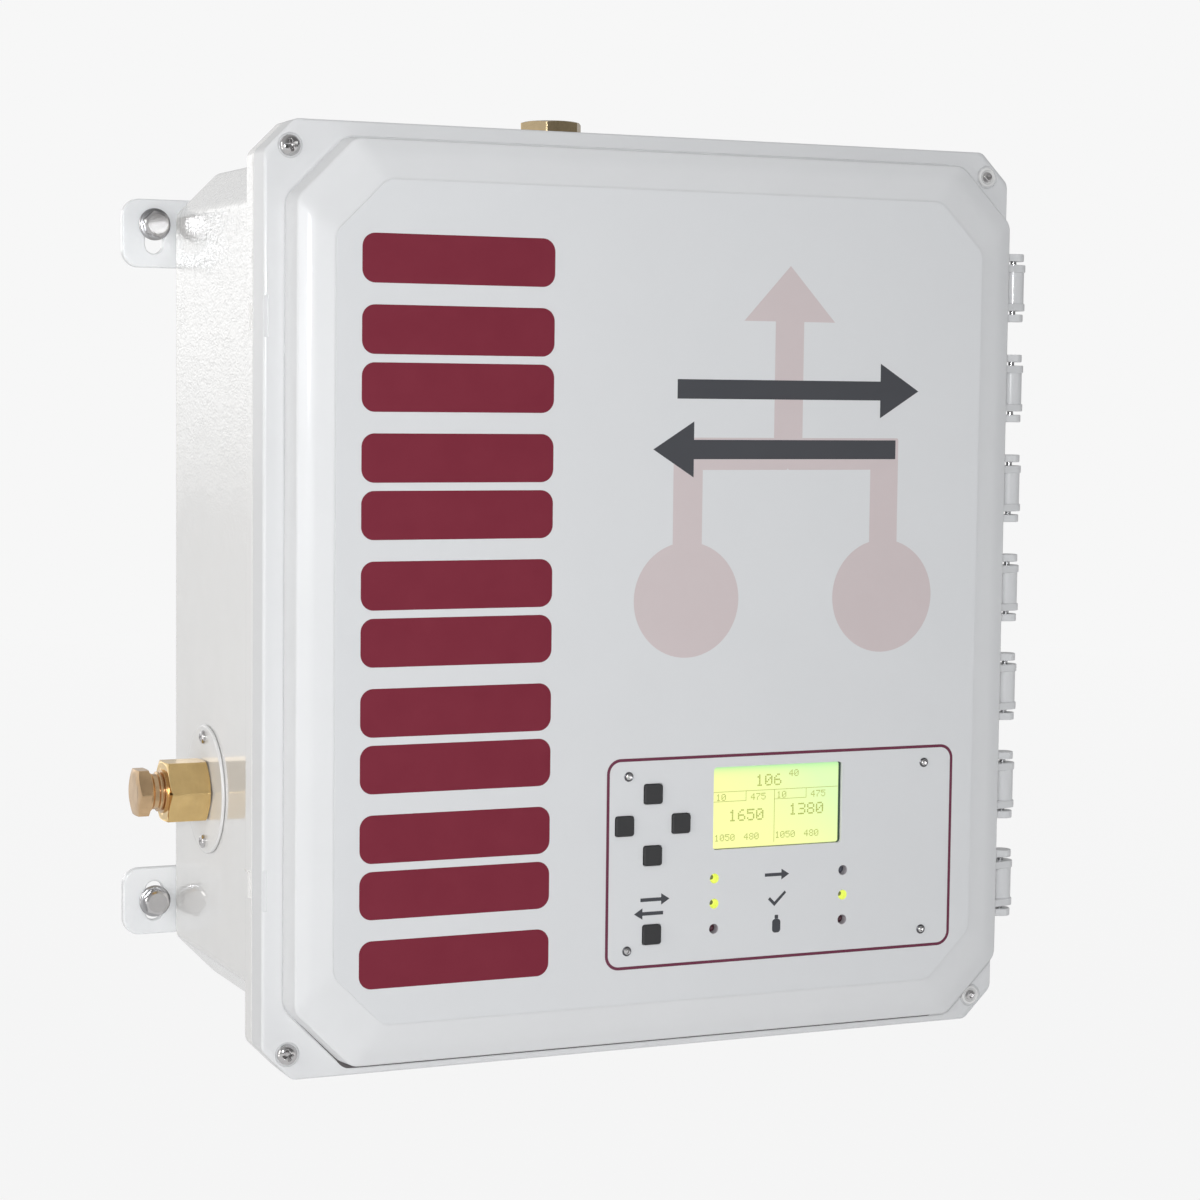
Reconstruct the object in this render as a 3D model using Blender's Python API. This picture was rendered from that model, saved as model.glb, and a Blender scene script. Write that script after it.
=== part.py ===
"""Automatic changeover regulator: a hinged wall cabinet with two gas inlets and one outlet.

World frame, in metres: X to the right, Z up, and Y from the front towards the wall, which is the plane Y = 0.
The origin lies in the wall plane, behind the middle of the cabinet.
"""

import math

import bmesh
import bpy
from mathutils import Matrix, Vector

MM = 0.001

# Clearances
SEAT_GAP = 0.3 * MM
HOLE_GAP = 0.3 * MM
SCREW_GAP = 0.5 * MM

# Lid: the flange ledge, the step, the sloped shoulder and the flat face
LID_WIDTH = 380.6 * MM
LID_HEIGHT = 430.0 * MM
LID_CUT = 14.5 * MM
LID_CORNER_RADIUS = 5.0 * MM
LID_RIM_DEPTH = 16.0 * MM
LID_WALL = 3.2 * MM
LID_EDGE_RADIUS = 2.4 * MM
LEDGE_WIDTH = 8.3 * MM
PILLOW_CUT = 27.5 * MM
PILLOW_CORNER_RADIUS = 9.0 * MM
STEP_HEIGHT = 13.7 * MM
STEP_DRAFT = 1.0 * MM
STEP_RADIUS = 2.0 * MM
SHOULDER_WIDTH = 17.2 * MM
FACE_CUT = 24.0 * MM
FACE_HEIGHT = 17.9 * MM
OVERLAY_MARGIN = 0.8 * MM
OVERLAY_THICKNESS = 0.5 * MM

# Cabinet body
BODY_DEPTH = 173.7 * MM
BODY_INSET = 11.6 * MM
BODY_CUT = 27.0 * MM
BODY_CORNER_RADIUS = 7.0 * MM
BODY_REAR_RADIUS = 6.0 * MM
BODY_WALL = 3.6 * MM
BODY_FLOOR = 4.0 * MM
FLANGE_THICKNESS = 9.5 * MM
FLANGE_INSET = 0.5 * MM
FLANGE_EDGE_RADIUS = 0.8 * MM
STANDOFF_HEIGHT = 8.0 * MM
STANDOFF_RADIUS = 6.0 * MM

# Seal between lid and body
GROOVE_CUT = 31.0 * MM
GROOVE_WIDTH = 7.7 * MM
GROOVE_RIB = 1.8 * MM
GROOVE_RIB_HEIGHT = 7.0 * MM
GASKET_THICKNESS = 5.0 * MM
TONGUE_THICKNESS = 2.5 * MM

# Hinge: stations down the right side, each with two body lugs outside two lid lugs and a barrel
HINGE_COUNT = 7
HINGE_INSET = 65.0 * MM
HINGE_OFFSET = 14.2 * MM
LID_LUG_DEPTH = (1.2 * MM, 9.5 * MM)
LID_LUG_ROOT = 1.5 * MM
BODY_LUG_DEPTH = 1.5 * MM
BODY_LUG_ROOT = 3.0 * MM
STATION_HEIGHT = 33.7 * MM
LUG_THICKNESS = 3.7 * MM
LUG_GAP = 1.7 * MM
BODY_LUG_RADIUS = 5.2 * MM
LID_LUG_RADIUS = 6.0 * MM
BARREL_RADIUS = 5.4 * MM
HINGE_PIN_RADIUS = 1.5 * MM

# Corner screws of the lid
LID_SCREW_INSET = 12.0 * MM
LID_SCREW_RADIUS = 2.4 * MM
LID_SCREW_REACH = 5.0 * MM
LID_SCREW_HEAD_RADIUS = 4.7 * MM
LID_SCREW_HEAD_HEIGHT = 2.6 * MM
LID_SCREW_RECESS = 0.8 * MM

# Latch marks on the left side
LATCH_HEIGHT = 128.0 * MM
LATCH_NOTCH = (9.0 * MM, 0.6 * MM, 18.5 * MM)
LATCH_PAD = (1.2 * MM, 6.5 * MM, 12.0 * MM)

# Mounting feet and wall bolts
FOOT_WIDTH = 46.0 * MM
FOOT_HEIGHT = 34.0 * MM
FOOT_THICKNESS = 5.0 * MM
FOOT_CORNER_RADIUS = 6.5 * MM
FOOT_EDGE_RADIUS = 0.8 * MM
FOOT_REACH = 25.7 * MM
FOOT_INSET = 34.9 * MM
SLOT_FROM_EDGE = 16.0 * MM
SLOT_LENGTH = 20.0 * MM
SLOT_WIDTH = 9.0 * MM
SLOT_DROP = 4.5 * MM
BOLT_RADIUS = 4.0 * MM
BOLT_HEAD_FLATS = 13.0 * MM
BOLT_HEAD_HEIGHT = 5.3 * MM
WASHER_RADIUS = 8.0 * MM
WASHER_THICKNESS = 1.6 * MM

# Gas fittings
PORT_DEPTH = 67.0 * MM
INLET_HEIGHT = 103.9 * MM
FITTING_FLATS = 28.6 * MM
INLET_HEX_LENGTH = 22.0 * MM
OUTLET_HEX_LENGTH = 27.5 * MM
FITTING_SHANK_RADIUS = 9.7 * MM
FITTING_SHANK_LENGTH = 19.0 * MM
FITTING_BORE_RADIUS = 7.0 * MM
FITTING_BORE_DEPTH = 16.0 * MM
HEX_CHAMFER = 1.6 * MM
PLUG_FLATS = 22.2 * MM
PLUG_HEX_LENGTH = 12.6 * MM
PLUG_NECK_LENGTH = 3.0 * MM
PLUG_NECK_RADIUS = 8.0 * MM
PLUG_COLLAR_RADIUS = 10.4 * MM
PLUG_SHANK_LENGTH = 12.0 * MM
DISC_RADIUS = 31.5 * MM
DISC_THICKNESS = 1.4 * MM
DISC_RIM = 0.5 * MM
WALL_HOLE_RADIUS = 19.0 * MM

# Gas train inside the cabinet
PANEL_MARGIN = 17.0 * MM
PANEL_THICKNESS = 2.0 * MM
PANEL_HOLE_RADIUS = 2.6 * MM
STANDOFF_INSET = 16.0 * MM
BLOCK_SIZE = 36.0 * MM
INLET_BLOCK_LENGTH = 38.0 * MM
VALVE_LENGTH = 40.0 * MM
BLOCK_EDGE = 1.2 * MM
CAP_FLATS = 22.0 * MM
CAP_LENGTH = 9.0 * MM
COIL_SIZE = (32.0 * MM, 34.0 * MM, 44.0 * MM)
COIL_EDGE = 3.0 * MM
CONNECTOR_SIZE = (18.0 * MM, 20.0 * MM, 17.0 * MM)
VALVE_STEM_RADIUS = 7.0 * MM
VALVE_STEM_LENGTH = 26.0 * MM
TEE_LENGTH = 44.0 * MM
PIPE_RADIUS = 4.8 * MM
PIPE_NUT_FLATS = 17.0 * MM
PIPE_NUT_LENGTH = 11.0 * MM
SENSOR_RADIUS = 11.0 * MM
SENSOR_LENGTH = 46.0 * MM
SENSOR_HEX_FLATS = 22.0 * MM
SENSOR_HEX_LENGTH = 8.0 * MM
SENSOR_PLUG_RADIUS = 6.8 * MM
REGULATOR_RISE = 119.5 * MM
REGULATOR_RADIUS = 27.0 * MM
REGULATOR_BODY_DEPTH = 36.0 * MM
REGULATOR_PORT_REACH = 32.0 * MM
BONNET_RADIUS = 21.0 * MM
BONNET_LENGTH = 18.0 * MM
STEM_RADIUS = 5.0 * MM
STEM_LENGTH = 14.0 * MM
KNOB_RADIUS = 16.0 * MM
KNOB_LENGTH = 20.0 * MM
KNOB_FLUTE_COUNT = 8
FLUTE_RADIUS = 2.6 * MM
SUPPLY_SIZE = (108.0 * MM, 42.0 * MM, 92.0 * MM)
SUPPLY_INSET = (12.0 * MM, 24.8 * MM)
SUPPLY_SLOT_COUNT = 9
SUPPLY_SLOT = (2.5 * MM, 3.0 * MM, 64.0 * MM)
TERMINAL_COUNT = 8
TERMINAL_PITCH = 10.2 * MM
TERMINAL_WIDTH = 9.0 * MM
TERMINAL_SIZE = (34.0 * MM, 46.0 * MM)
RAIL_SIZE = (100.0 * MM, 7.5 * MM, 35.0 * MM)
TERMINAL_INSET = (16.0 * MM, 42.0 * MM)

# Control panel on the lid: places are measured from the lower right corner of the flat face
DISPLAY_PLACE = (-106.0 * MM, 90.6 * MM)
DISPLAY_SIZE = (68.5 * MM, 39.2 * MM)
DISPLAY_CORNER_RADIUS = 1.6 * MM
DISPLAY_RECESS = 2.2 * MM
DISPLAY_GLASS_THICKNESS = 4.0 * MM
DISPLAY_FRAME_BORDER = 6.0 * MM
DISPLAY_FRAME_DEPTH = 6.0 * MM
KEYPAD_PLACE = (-171.6 * MM, 84.7 * MM)
KEY_SPREAD = 14.5 * MM
BANK_KEY_DROP = 51.7 * MM
KEY_SIZE = 9.2 * MM
KEY_CORNER_RADIUS = 1.0 * MM
KEY_PROUD = 1.3 * MM
KEY_FLANGE = 1.6 * MM
KEY_FLANGE_THICKNESS = 1.0 * MM
KEY_STEM = 4.0 * MM
KEY_TRAVEL = 1.0 * MM
SWITCH_SIZE = 6.0 * MM
SWITCH_HEIGHT = 3.6 * MM
LAMP_SHIFT = 1.2 * MM
LAMP_SPREAD = 34.4 * MM
LAMP_DROP = 33.1 * MM
LAMP_PITCH = 12.0 * MM
LAMP_COUNT = 3
LAMP_RADIUS = 2.1 * MM
LAMP_RECESS = 1.3 * MM
LAMP_DOME = 1.4 * MM
LIGHT_BAR = (6.0 * MM, 3.0 * MM)
BOARD_SCREWS = ((-184.2 * MM, -26.7 * MM), (107.8 * MM, 25.9 * MM))
BOARD_MARGIN = 8.0 * MM
BOARD_THICKNESS = 1.6 * MM
BOARD_SPACE = 8.4 * MM
BOSS_RADIUS = 4.0 * MM

# Facets
CORNER_COUNT = 2
ARC_COUNT = 5
ROUND_COUNT = 20
SMALL_COUNT = 10
BORE_COUNT = 8
DISC_COUNT = 28
BARREL_COUNT = 14
KNOB_COUNT = 24
SMOOTH_ANGLE = math.radians(35)
AXIS_MARK_SIZE = 20.0 * MM

# Growing a cut corner by a distance keeps its 45 degree side at that distance too
CUT_GROWTH = 2 - math.sqrt(2)


class Section:
    """A rectangle with cut and rounded corners, seen from the front."""

    def __init__(self, half_width, half_height, cut, radius):
        self.half_width = half_width
        self.half_height = half_height
        self.cut = cut
        self.radius = radius

    def grown(self, distance):
        """The section with every side moved outwards by the distance."""
        radius = max(self.radius + distance, 0.5 * MM)
        return Section(self.half_width + distance, self.half_height + distance,
                       self.cut + distance * CUT_GROWTH, radius)

    def outline(self):
        """Its points in the XZ plane, anticlockwise from the front."""
        w, h, c = self.half_width, self.half_height, self.cut
        corners = [(w, h - c), (w - c, h), (c - w, h), (-w, h - c),
                   (-w, c - h), (c - w, -h), (w - c, -h), (w, c - h)]
        turn = math.pi / 4
        reach = self.radius * math.tan(turn / 2)
        points = []
        for index, (x, z) in enumerate(corners):
            last = Vector(corners[index - 1])
            along = (Vector((x, z)) - last).normalized()
            inward = Vector((-along.y, along.x))
            centre = Vector((x, z)) - along * reach + inward * self.radius
            start = math.atan2(-inward.y, -inward.x)
            for step in range(CORNER_COUNT + 1):
                angle = start + turn * step / CORNER_COUNT
                points.append(centre + self.radius * Vector((math.cos(angle), math.sin(angle))))
        return points

    def ring(self, y):
        """The outline as points in space at one depth."""
        return [Vector((point.x, y, point.y)) for point in self.outline()]


# Levels along Y, worked out from the wall forwards
BODY_REAR_Y = -(FOOT_THICKNESS + SEAT_GAP)
SEAM_Y = BODY_REAR_Y - BODY_DEPTH
FLANGE_REAR_Y = SEAM_Y + FLANGE_THICKNESS
LID_BACK_Y = SEAM_Y - SEAT_GAP
LEDGE_Y = SEAM_Y - LID_RIM_DEPTH
GROOVE_FLOOR_Y = LEDGE_Y + LID_WALL
GASKET_FRONT_Y = GROOVE_FLOOR_Y + SEAT_GAP
GASKET_BACK_Y = GASKET_FRONT_Y + GASKET_THICKNESS
TONGUE_TOP_Y = GASKET_BACK_Y + SEAT_GAP
RIB_END_Y = GROOVE_FLOOR_Y + GROOVE_RIB_HEIGHT
FACE_Y = LEDGE_Y - FACE_HEIGHT
FACE_INNER_Y = FACE_Y + LID_WALL
OVERLAY_BACK_Y = FACE_Y - SEAT_GAP
OVERLAY_FRONT_Y = OVERLAY_BACK_Y - OVERLAY_THICKNESS
BOARD_FRONT_Y = FACE_INNER_Y + BOARD_SPACE
PORT_Y = -PORT_DEPTH
FLOOR_Y = BODY_REAR_Y - BODY_FLOOR
PANEL_BACK_Y = FLOOR_Y - STANDOFF_HEIGHT - SEAT_GAP
PANEL_FRONT_Y = PANEL_BACK_Y - PANEL_THICKNESS
ON_PANEL_Y = PANEL_FRONT_Y - SEAT_GAP

# Outlines of the moulded parts
LID = Section(LID_WIDTH / 2, LID_HEIGHT / 2, LID_CUT, LID_CORNER_RADIUS)
PILLOW = Section(LID.half_width - LEDGE_WIDTH, LID.half_height - LEDGE_WIDTH, PILLOW_CUT,
                 PILLOW_CORNER_RADIUS)
FACE = Section(PILLOW.half_width - SHOULDER_WIDTH, PILLOW.half_height - SHOULDER_WIDTH, FACE_CUT,
               PILLOW_CORNER_RADIUS)
BODY = Section(LID.half_width - BODY_INSET, LID.half_height - BODY_INSET, BODY_CUT, BODY_CORNER_RADIUS)
FLANGE = Section(LID.half_width - FLANGE_INSET, LID.half_height - FLANGE_INSET, LID_CUT, LID_CORNER_RADIUS)
GROOVE = Section(LID.half_width - LID_WALL, LID.half_height - LID_WALL, GROOVE_CUT, PILLOW_CORNER_RADIUS)
TONGUE = GROOVE.grown((TONGUE_THICKNESS - GROOVE_WIDTH) / 2)
POCKET = GROOVE.grown(-GROOVE_WIDTH - GROOVE_RIB)

PANEL = BODY.grown(-BODY_WALL - PANEL_MARGIN)

HINGE_X = LID.half_width + HINGE_OFFSET
HINGE_PITCH = 2 * (LID.half_height - HINGE_INSET) / (HINGE_COUNT - 1)
HINGE_LEVELS = [(index - (HINGE_COUNT - 1) / 2) * HINGE_PITCH for index in range(HINGE_COUNT)]
OUTER_LUG = STATION_HEIGHT / 2 - LUG_THICKNESS / 2
INNER_LUG = OUTER_LUG - LUG_THICKNESS - LUG_GAP
FOOT_LEVEL = BODY.half_height - FOOT_INSET
INLET_LEVEL = INLET_HEIGHT - BODY.half_height
REGULATOR_LEVEL = INLET_LEVEL + REGULATOR_RISE
INLET_BLOCK_X = BODY.half_width - BODY_WALL - SEAT_GAP - INLET_BLOCK_LENGTH / 2
VALVE_X = INLET_BLOCK_X - INLET_BLOCK_LENGTH / 2 - SEAT_GAP - VALVE_LENGTH / 2
CORNER_X, CORNER_Z = FACE.half_width, -FACE.half_height
DISPLAY_CENTRE = (CORNER_X + DISPLAY_PLACE[0], CORNER_Z + DISPLAY_PLACE[1])
KEYPAD_CENTRE = (CORNER_X + KEYPAD_PLACE[0], CORNER_Z + KEYPAD_PLACE[1])
LAMP_CENTRE = DISPLAY_CENTRE[0] + LAMP_SHIFT
LAMP_COLUMNS = (LAMP_CENTRE - LAMP_SPREAD, LAMP_CENTRE + LAMP_SPREAD)
LAMP_LEVELS = [DISPLAY_CENTRE[1] - LAMP_DROP - index * LAMP_PITCH for index in range(LAMP_COUNT)]
BOARD_COLUMNS = [CORNER_X + x for x in BOARD_SCREWS[0]]
BOARD_ROWS = [CORNER_Z + z for z in BOARD_SCREWS[1]]
KEY_PLACES = {
    "up": (KEYPAD_CENTRE[0], KEYPAD_CENTRE[1] + KEY_SPREAD),
    "left": (KEYPAD_CENTRE[0] - KEY_SPREAD, KEYPAD_CENTRE[1]),
    "right": (KEYPAD_CENTRE[0] + KEY_SPREAD, KEYPAD_CENTRE[1]),
    "down": (KEYPAD_CENTRE[0], KEYPAD_CENTRE[1] - KEY_SPREAD),
    "bank": (KEYPAD_CENTRE[0], KEYPAD_CENTRE[1] - BANK_KEY_DROP),
}
SIDES = {"left": -1, "right": 1}
LEVELS = {"top": 1, "bottom": -1}


def add_loft(bm, rings, closed=False):
    """Skin a row of rings with the same number of points, capping its ends unless it closes on itself."""
    rows = [[bm.verts.new(point) for point in ring] for ring in rings]
    pairs = list(zip(rows, rows[1:]))
    if closed:
        pairs.append((rows[-1], rows[0]))
    faces = []
    for first, second in pairs:
        for index in range(len(first)):
            quad = (first[index - 1], first[index], second[index], second[index - 1])
            faces.append(bm.faces.new(quad))
    if not closed:
        faces.append(bm.faces.new(rows[0]))
        faces.append(bm.faces.new(rows[-1]))
    bmesh.ops.recalc_face_normals(bm, faces=faces)


def axis_frame(axis):
    """The axis at length 1, and two directions that make a right-handed frame with it."""
    axis = Vector(axis).normalized()
    side = Vector((1, 0, 0)) if abs(axis.x) < 0.5 else Vector((0, 1, 0))
    first = (side - axis * side.dot(axis)).normalized()
    return axis, first, axis.cross(first)


def add_prism(bm, outline, origin, axis, length, edge=0.0):
    """Extrude an outline along an axis from the origin, with an optional bevelled far edge."""
    axis, first, second = axis_frame(axis)
    origin = Vector(origin)

    def drawn_in(value, shrink):
        return value * (1 - shrink / abs(value)) if abs(value) > 2 * shrink else value

    def ring(height, shrink):
        spot = origin + axis * height
        return [spot + first * drawn_in(u, shrink) + second * drawn_in(v, shrink) for u, v in outline]

    rings = [ring(0, 0), ring(length - edge, 0)]
    if edge:
        rings.append(ring(length, edge))
    add_loft(bm, rings)


def add_turned(bm, profile, origin, axis, steps=ROUND_COUNT, closed=False):
    """Turn a profile of (radius, height) pairs round an axis through the origin."""
    axis, first, second = axis_frame(axis)
    origin = Vector(origin)
    rings = []
    for radius, height in profile:
        angles = [2 * math.pi * step / steps for step in range(steps)]
        spot = origin + axis * height
        rings.append([spot + radius * (first * math.cos(angle) + second * math.sin(angle)) for angle in angles])
    add_loft(bm, rings, closed)


def add_box(bm, low, high):
    """A box between two corners."""
    centre = (Vector(low) + Vector(high)) / 2
    size = Vector(high) - Vector(low)
    bmesh.ops.create_cube(bm, size=1, matrix=Matrix.Translation(centre) @ Matrix.Diagonal((*size, 1)))


def rounded_rectangle(width, height, radius, steps=3):
    """An outline centred on zero, with round corners."""
    points = []
    for quarter, (sx, sy) in enumerate([(1, 1), (-1, 1), (-1, -1), (1, -1)]):
        for step in range(steps + 1):
            angle = math.pi / 2 * (quarter + step / steps)
            points.append((sx * (width / 2 - radius) + radius * math.cos(angle),
                           sy * (height / 2 - radius) + radius * math.sin(angle)))
    return points


def hexagon(flats, turn=0.0):
    """A hexagon outline by its size across flats."""
    radius = flats / math.sqrt(3)
    angles = [turn + math.pi / 3 * step for step in range(6)]
    return [(radius * math.cos(angle), radius * math.sin(angle)) for angle in angles]


def make_material(name, colour, roughness, metallic=0.0):
    """A Principled material with one colour and finish."""
    material = bpy.data.materials.new(name)
    material.use_nodes = True
    shader = material.node_tree.nodes["Principled BSDF"]
    shader.inputs["Base Color"].default_value = (*colour, 1)
    shader.inputs["Roughness"].default_value = roughness
    shader.inputs["Metallic"].default_value = metallic
    return material


def make_object(name, bm, material=None):
    """An object in the scene from a mesh under construction."""
    mesh = bpy.data.meshes.new(name)
    bm.to_mesh(mesh)
    bm.free()
    obj = bpy.data.objects.new(name, mesh)
    if material:
        mesh.materials.append(material)
    bpy.context.scene.collection.objects.link(obj)
    return obj


def combine(target, bm, operation="DIFFERENCE"):
    """Cut, join or intersect an object with the closed shapes of a mesh under construction."""
    tool = make_object(target.name + "_tool", bm)
    modifier = target.modifiers.new("combine", "BOOLEAN")
    modifier.operation = operation
    modifier.object = tool
    bpy.context.view_layer.update()
    graph = bpy.context.evaluated_depsgraph_get()
    mesh = bpy.data.meshes.new_from_object(target.evaluated_get(graph))
    target.modifiers.clear()
    old = target.data
    target.data = mesh
    mesh.name = old.name
    bpy.data.meshes.remove(old)
    bpy.data.objects.remove(tool)


def shade_round(obj):
    """Smooth shading with sharp creases."""
    obj.data.shade_smooth()
    obj.data.set_sharp_from_angle(angle=SMOOTH_ANGLE)


def copy_of(obj, name, matrix):
    """Another object that shares the mesh."""
    twin = bpy.data.objects.new(name, obj.data)
    twin.matrix_world = matrix
    bpy.context.scene.collection.objects.link(twin)
    return twin


def lug_outline(radius, base):
    """A lug in the XY plane: an arc round the hinge axis, joined to two points on the part that carries it."""
    points = []
    for step in range(ARC_COUNT + 1):
        angle = math.pi / 2 - math.pi * step / ARC_COUNT
        points.append((HINGE_X + radius * math.cos(angle), SEAM_Y + radius * math.sin(angle)))
    return points + base


def add_lug(bm, outline, level):
    """One hinge lug, centred on a level."""
    low, high = level - LUG_THICKNESS / 2, level + LUG_THICKNESS / 2
    add_loft(bm, [[Vector((x, y, z)) for x, y in outline] for z in (low, high)])


def add_hinge_bore(bm):
    """The hole for the hinge pins, right through all stations."""
    reach = HINGE_COUNT * HINGE_PITCH / 2
    radius = (HINGE_PIN_RADIUS + HOLE_GAP) / math.cos(math.pi / BORE_COUNT)
    add_turned(bm, [(radius, -reach), (radius, reach)], (HINGE_X, SEAM_Y, 0), (0, 0, 1), BORE_COUNT)


def lid_screw_places():
    """Name and place of each corner screw, seen from the front."""
    x = LID.half_width - LID_SCREW_INSET
    z = LID.half_height - LID_SCREW_INSET
    return {f"{level}_{side}": (sx * x, sz * z) for level, sz in LEVELS.items() for side, sx in SIDES.items()}


def standoff_places():
    """Places of the standoffs that carry the mounting plate."""
    x, z = PANEL.half_width - STANDOFF_INSET, PANEL.half_height - STANDOFF_INSET
    return [(sx * x, sz * z) for sx in (-1, 1) for sz in (-1, 1)]


def build_body(material):
    """The moulded cabinet body, with its flange, sealing tongue, hinge lugs and latch pads."""
    edge = BODY_REAR_RADIUS * (1 - math.sqrt(0.5))
    bevel = FLANGE_EDGE_RADIUS
    inside = BODY.grown(-BODY_WALL)
    rings = [
        BODY.grown(-BODY_REAR_RADIUS).ring(BODY_REAR_Y),
        BODY.grown(-edge).ring(BODY_REAR_Y - edge),
        BODY.ring(BODY_REAR_Y - BODY_REAR_RADIUS),
        BODY.ring(FLANGE_REAR_Y + LID_EDGE_RADIUS),
        BODY.grown(LID_EDGE_RADIUS).ring(FLANGE_REAR_Y),
        FLANGE.grown(-bevel).ring(FLANGE_REAR_Y),
        FLANGE.ring(FLANGE_REAR_Y - bevel),
        FLANGE.ring(SEAM_Y + bevel),
        FLANGE.grown(-bevel).ring(SEAM_Y),
        TONGUE.ring(SEAM_Y),
        TONGUE.ring(TONGUE_TOP_Y),
        TONGUE.grown(-TONGUE_THICKNESS).ring(TONGUE_TOP_Y),
        TONGUE.grown(-TONGUE_THICKNESS).ring(SEAM_Y),
        inside.grown(bevel).ring(SEAM_Y),
        inside.ring(SEAM_Y + bevel),
        inside.ring(FLOOR_Y - BODY_WALL),
        inside.grown(-BODY_WALL).ring(FLOOR_Y),
    ]
    bm = bmesh.new()
    add_loft(bm, rings)
    body = make_object("body_shell", bm, material)

    bm = bmesh.new()
    root_x = FLANGE.half_width - BODY_LUG_ROOT
    outline = lug_outline(BODY_LUG_RADIUS, [(root_x, SEAM_Y + BODY_LUG_DEPTH),
                                            (root_x, FLANGE_REAR_Y - bevel)])
    for level in HINGE_LEVELS:
        add_lug(bm, outline, level + OUTER_LUG)
        add_lug(bm, outline, level - OUTER_LUG)
    pad_x, pad_y, pad_z = LATCH_PAD
    for sign in (-1, 1):
        middle = (SEAM_Y + FLANGE_REAR_Y) / 2
        add_box(bm, (-FLANGE.half_width - pad_x, middle - pad_y / 2, sign * LATCH_HEIGHT - pad_z / 2),
                (-FLANGE.half_width + pad_x, middle + pad_y / 2, sign * LATCH_HEIGHT + pad_z / 2))
    for x, z in standoff_places():
        add_turned(bm, [(STANDOFF_RADIUS, -BODY_FLOOR / 2), (STANDOFF_RADIUS, STANDOFF_HEIGHT)],
                   (x, FLOOR_Y, z), (0, -1, 0), SMALL_COUNT)
    combine(body, bm, "UNION")

    bm = bmesh.new()
    add_hinge_bore(bm)
    for sign in SIDES.values():
        add_turned(bm, [(WALL_HOLE_RADIUS, -2 * BODY_WALL), (WALL_HOLE_RADIUS, 2 * BODY_WALL)],
                   (sign * BODY.half_width, PORT_Y, INLET_LEVEL), (1, 0, 0))
    shank_hole = FITTING_SHANK_RADIUS + HOLE_GAP
    add_turned(bm, [(shank_hole, -2 * BODY_WALL), (shank_hole, 2 * BODY_WALL)],
               (0, PORT_Y, BODY.half_height), (0, 0, 1))
    hole = LID_SCREW_RADIUS + SCREW_GAP + 0.4 * MM
    depth = LID_SCREW_REACH + 2 * MM
    for x, z in lid_screw_places().values():
        add_turned(bm, [(hole, -1 * MM), (hole, depth)], (x, SEAM_Y, z), (0, 1, 0), SMALL_COUNT)
    for x, z in standoff_places():
        add_turned(bm, [(PANEL_HOLE_RADIUS, -STANDOFF_HEIGHT + 2 * MM), (PANEL_HOLE_RADIUS, 1 * MM)],
                   (x, FLOOR_Y - STANDOFF_HEIGHT, z), (0, -1, 0), SMALL_COUNT)
    combine(body, bm)
    shade_round(body)


def add_panel_openings(bm, low_y, high_y):
    """The openings of the control panel, cut between two depths."""
    length = high_y - low_y
    width, height = DISPLAY_SIZE
    window = rounded_rectangle(width, height, DISPLAY_CORNER_RADIUS)
    x, z = DISPLAY_CENTRE
    add_prism(bm, window, (x, high_y, z), (0, -1, 0), length)
    key_hole = KEY_SIZE + 2 * HOLE_GAP
    lamp_hole = LAMP_RADIUS + HOLE_GAP
    key = rounded_rectangle(key_hole, key_hole, KEY_CORNER_RADIUS, 2)
    for x, z in KEY_PLACES.values():
        add_prism(bm, key, (x, high_y, z), (0, -1, 0), length)
    for x in LAMP_COLUMNS:
        for z in LAMP_LEVELS:
            add_turned(bm, [(lamp_hole, 0), (lamp_hole, length)], (x, high_y, z), (0, -1, 0), SMALL_COUNT)


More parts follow.
